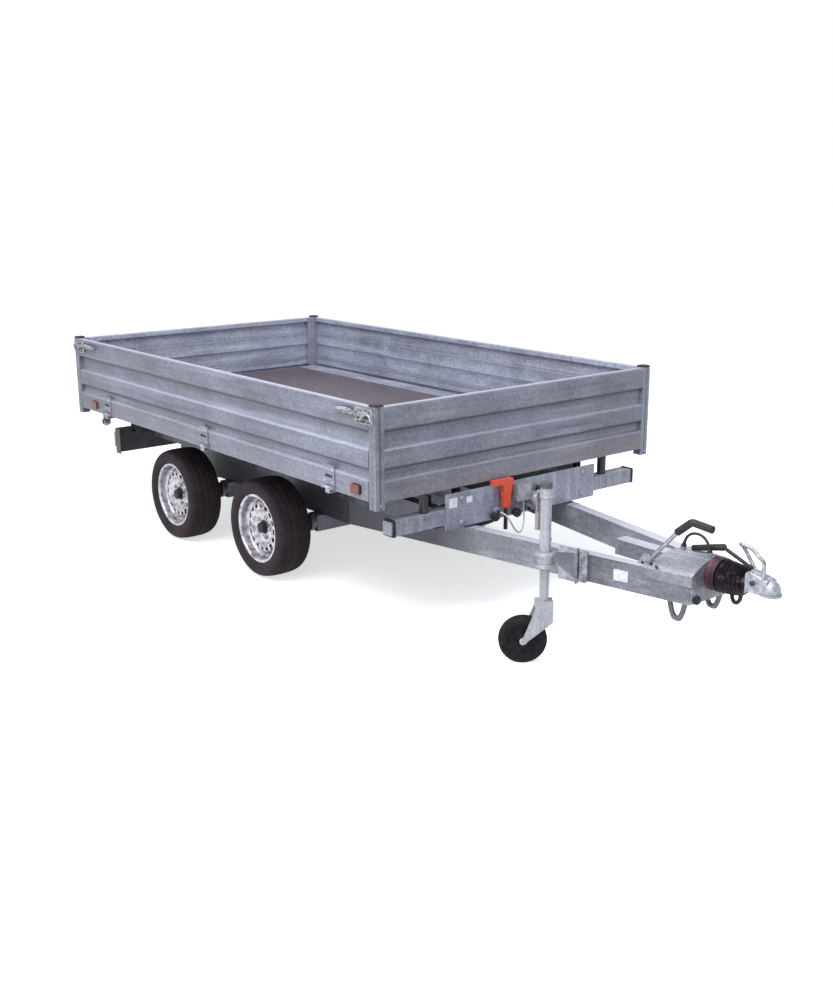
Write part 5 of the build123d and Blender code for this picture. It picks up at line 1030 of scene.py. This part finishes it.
# Three free lines: a dark lead that arches over the overrun housing, with a strain relief at both
# ends, and a pale cable and a black hose that leave the front plate through one each.
white_cable = Finish("pale_cable", (0.50, 0.50, 0.53), roughness=0.45)
white_cable.mottled((90.0, 3.0), (0.3, (0.30, 0.30, 0.34)), (0.62, (0.62, 0.62, 0.66)))
relief_line = turned((
    (1.9, 0.0), (1.9, 0.8), (1.5, 1.2), (1.6, 1.8), (1.25, 2.3), (1.3, 3.0), (1.02, 3.6)
), 20)


def line(name, points, thick, material, ends):
    """A free cable on its route's points, smoothed as one spline, with its strain reliefs."""
    curve = bpy.data.curves.new(name, "CURVE")
    curve.dimensions = "3D"
    curve.bevel_depth = thick / 2
    curve.bevel_resolution = 4
    curve.resolution_u = 16
    curve.use_fill_caps = True
    spline = curve.splines.new("NURBS")
    spline.points.add(len(points) - 1)
    for spot, point in zip(spline.points, points):
        spot.co = (*point, 1.0)
    spline.order_u = 3
    spline.use_endpoint_u = True
    curve.materials.append(material)
    cable = bpy.data.objects.new(name + "_line", curve)
    bpy.context.collection.objects.link(cable)
    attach(cable, "root")
    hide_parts(name)
    stacks = [placed(relief_line * (thick / 2), [spot], way) for spot, way in ends]
    cuff = solid(name + "_relief", stacks, "root", black.material)


nose_x = 2.256
# Each route in millimetres: distance behind the nose or ahead of the plate, Y, and height
lead_route = ((486, 518), (480, 548), (462, 572), (435, 585), (403, 586), (375, 573), (356, 549), (350, 520))
lead_points = [(nose_x - d / 1000, 0.0, z / 1000) for d, z in lead_route]
line(
    "coupling_lead", lead_points, 0.012, grip_rubber.material,
    [(lead_points[0], (0.2, 0, 1)), (lead_points[-1], (-0.2, 0, 1))]
)
cable_route = (
    (26, -189, 500), (66, -189, 500), (94, -178, 470), (96, -152, 424), (82, -108, 390), (62, -64, 398),
    (42, -34, 436), (30, -30, 486), (30, -30, 533)
)
cable_points = [(front_plate_x + d / 1000, y / 1000, z / 1000) for d, y, z in cable_route]
line(
    "plate_lead", cable_points, 0.008, white_cable.material,
    [(cable_points[0], (1, 0, 0))]
)
hose_route = (
    (26, 8, 480), (70, 8, 480), (114, -8, 458), (168, -44, 436), (236, -86, 426), (300, -116, 422),
    (340, -152, 420), (340, -196, 420)
)
hose_points = [(front_plate_x + d / 1000, y / 1000, z / 1000) for d, y, z in hose_route]
line(
    "plate_hose", hose_points, 0.009, grip_rubber.material,
    [(hose_points[0], (1, 0, 0))]
)
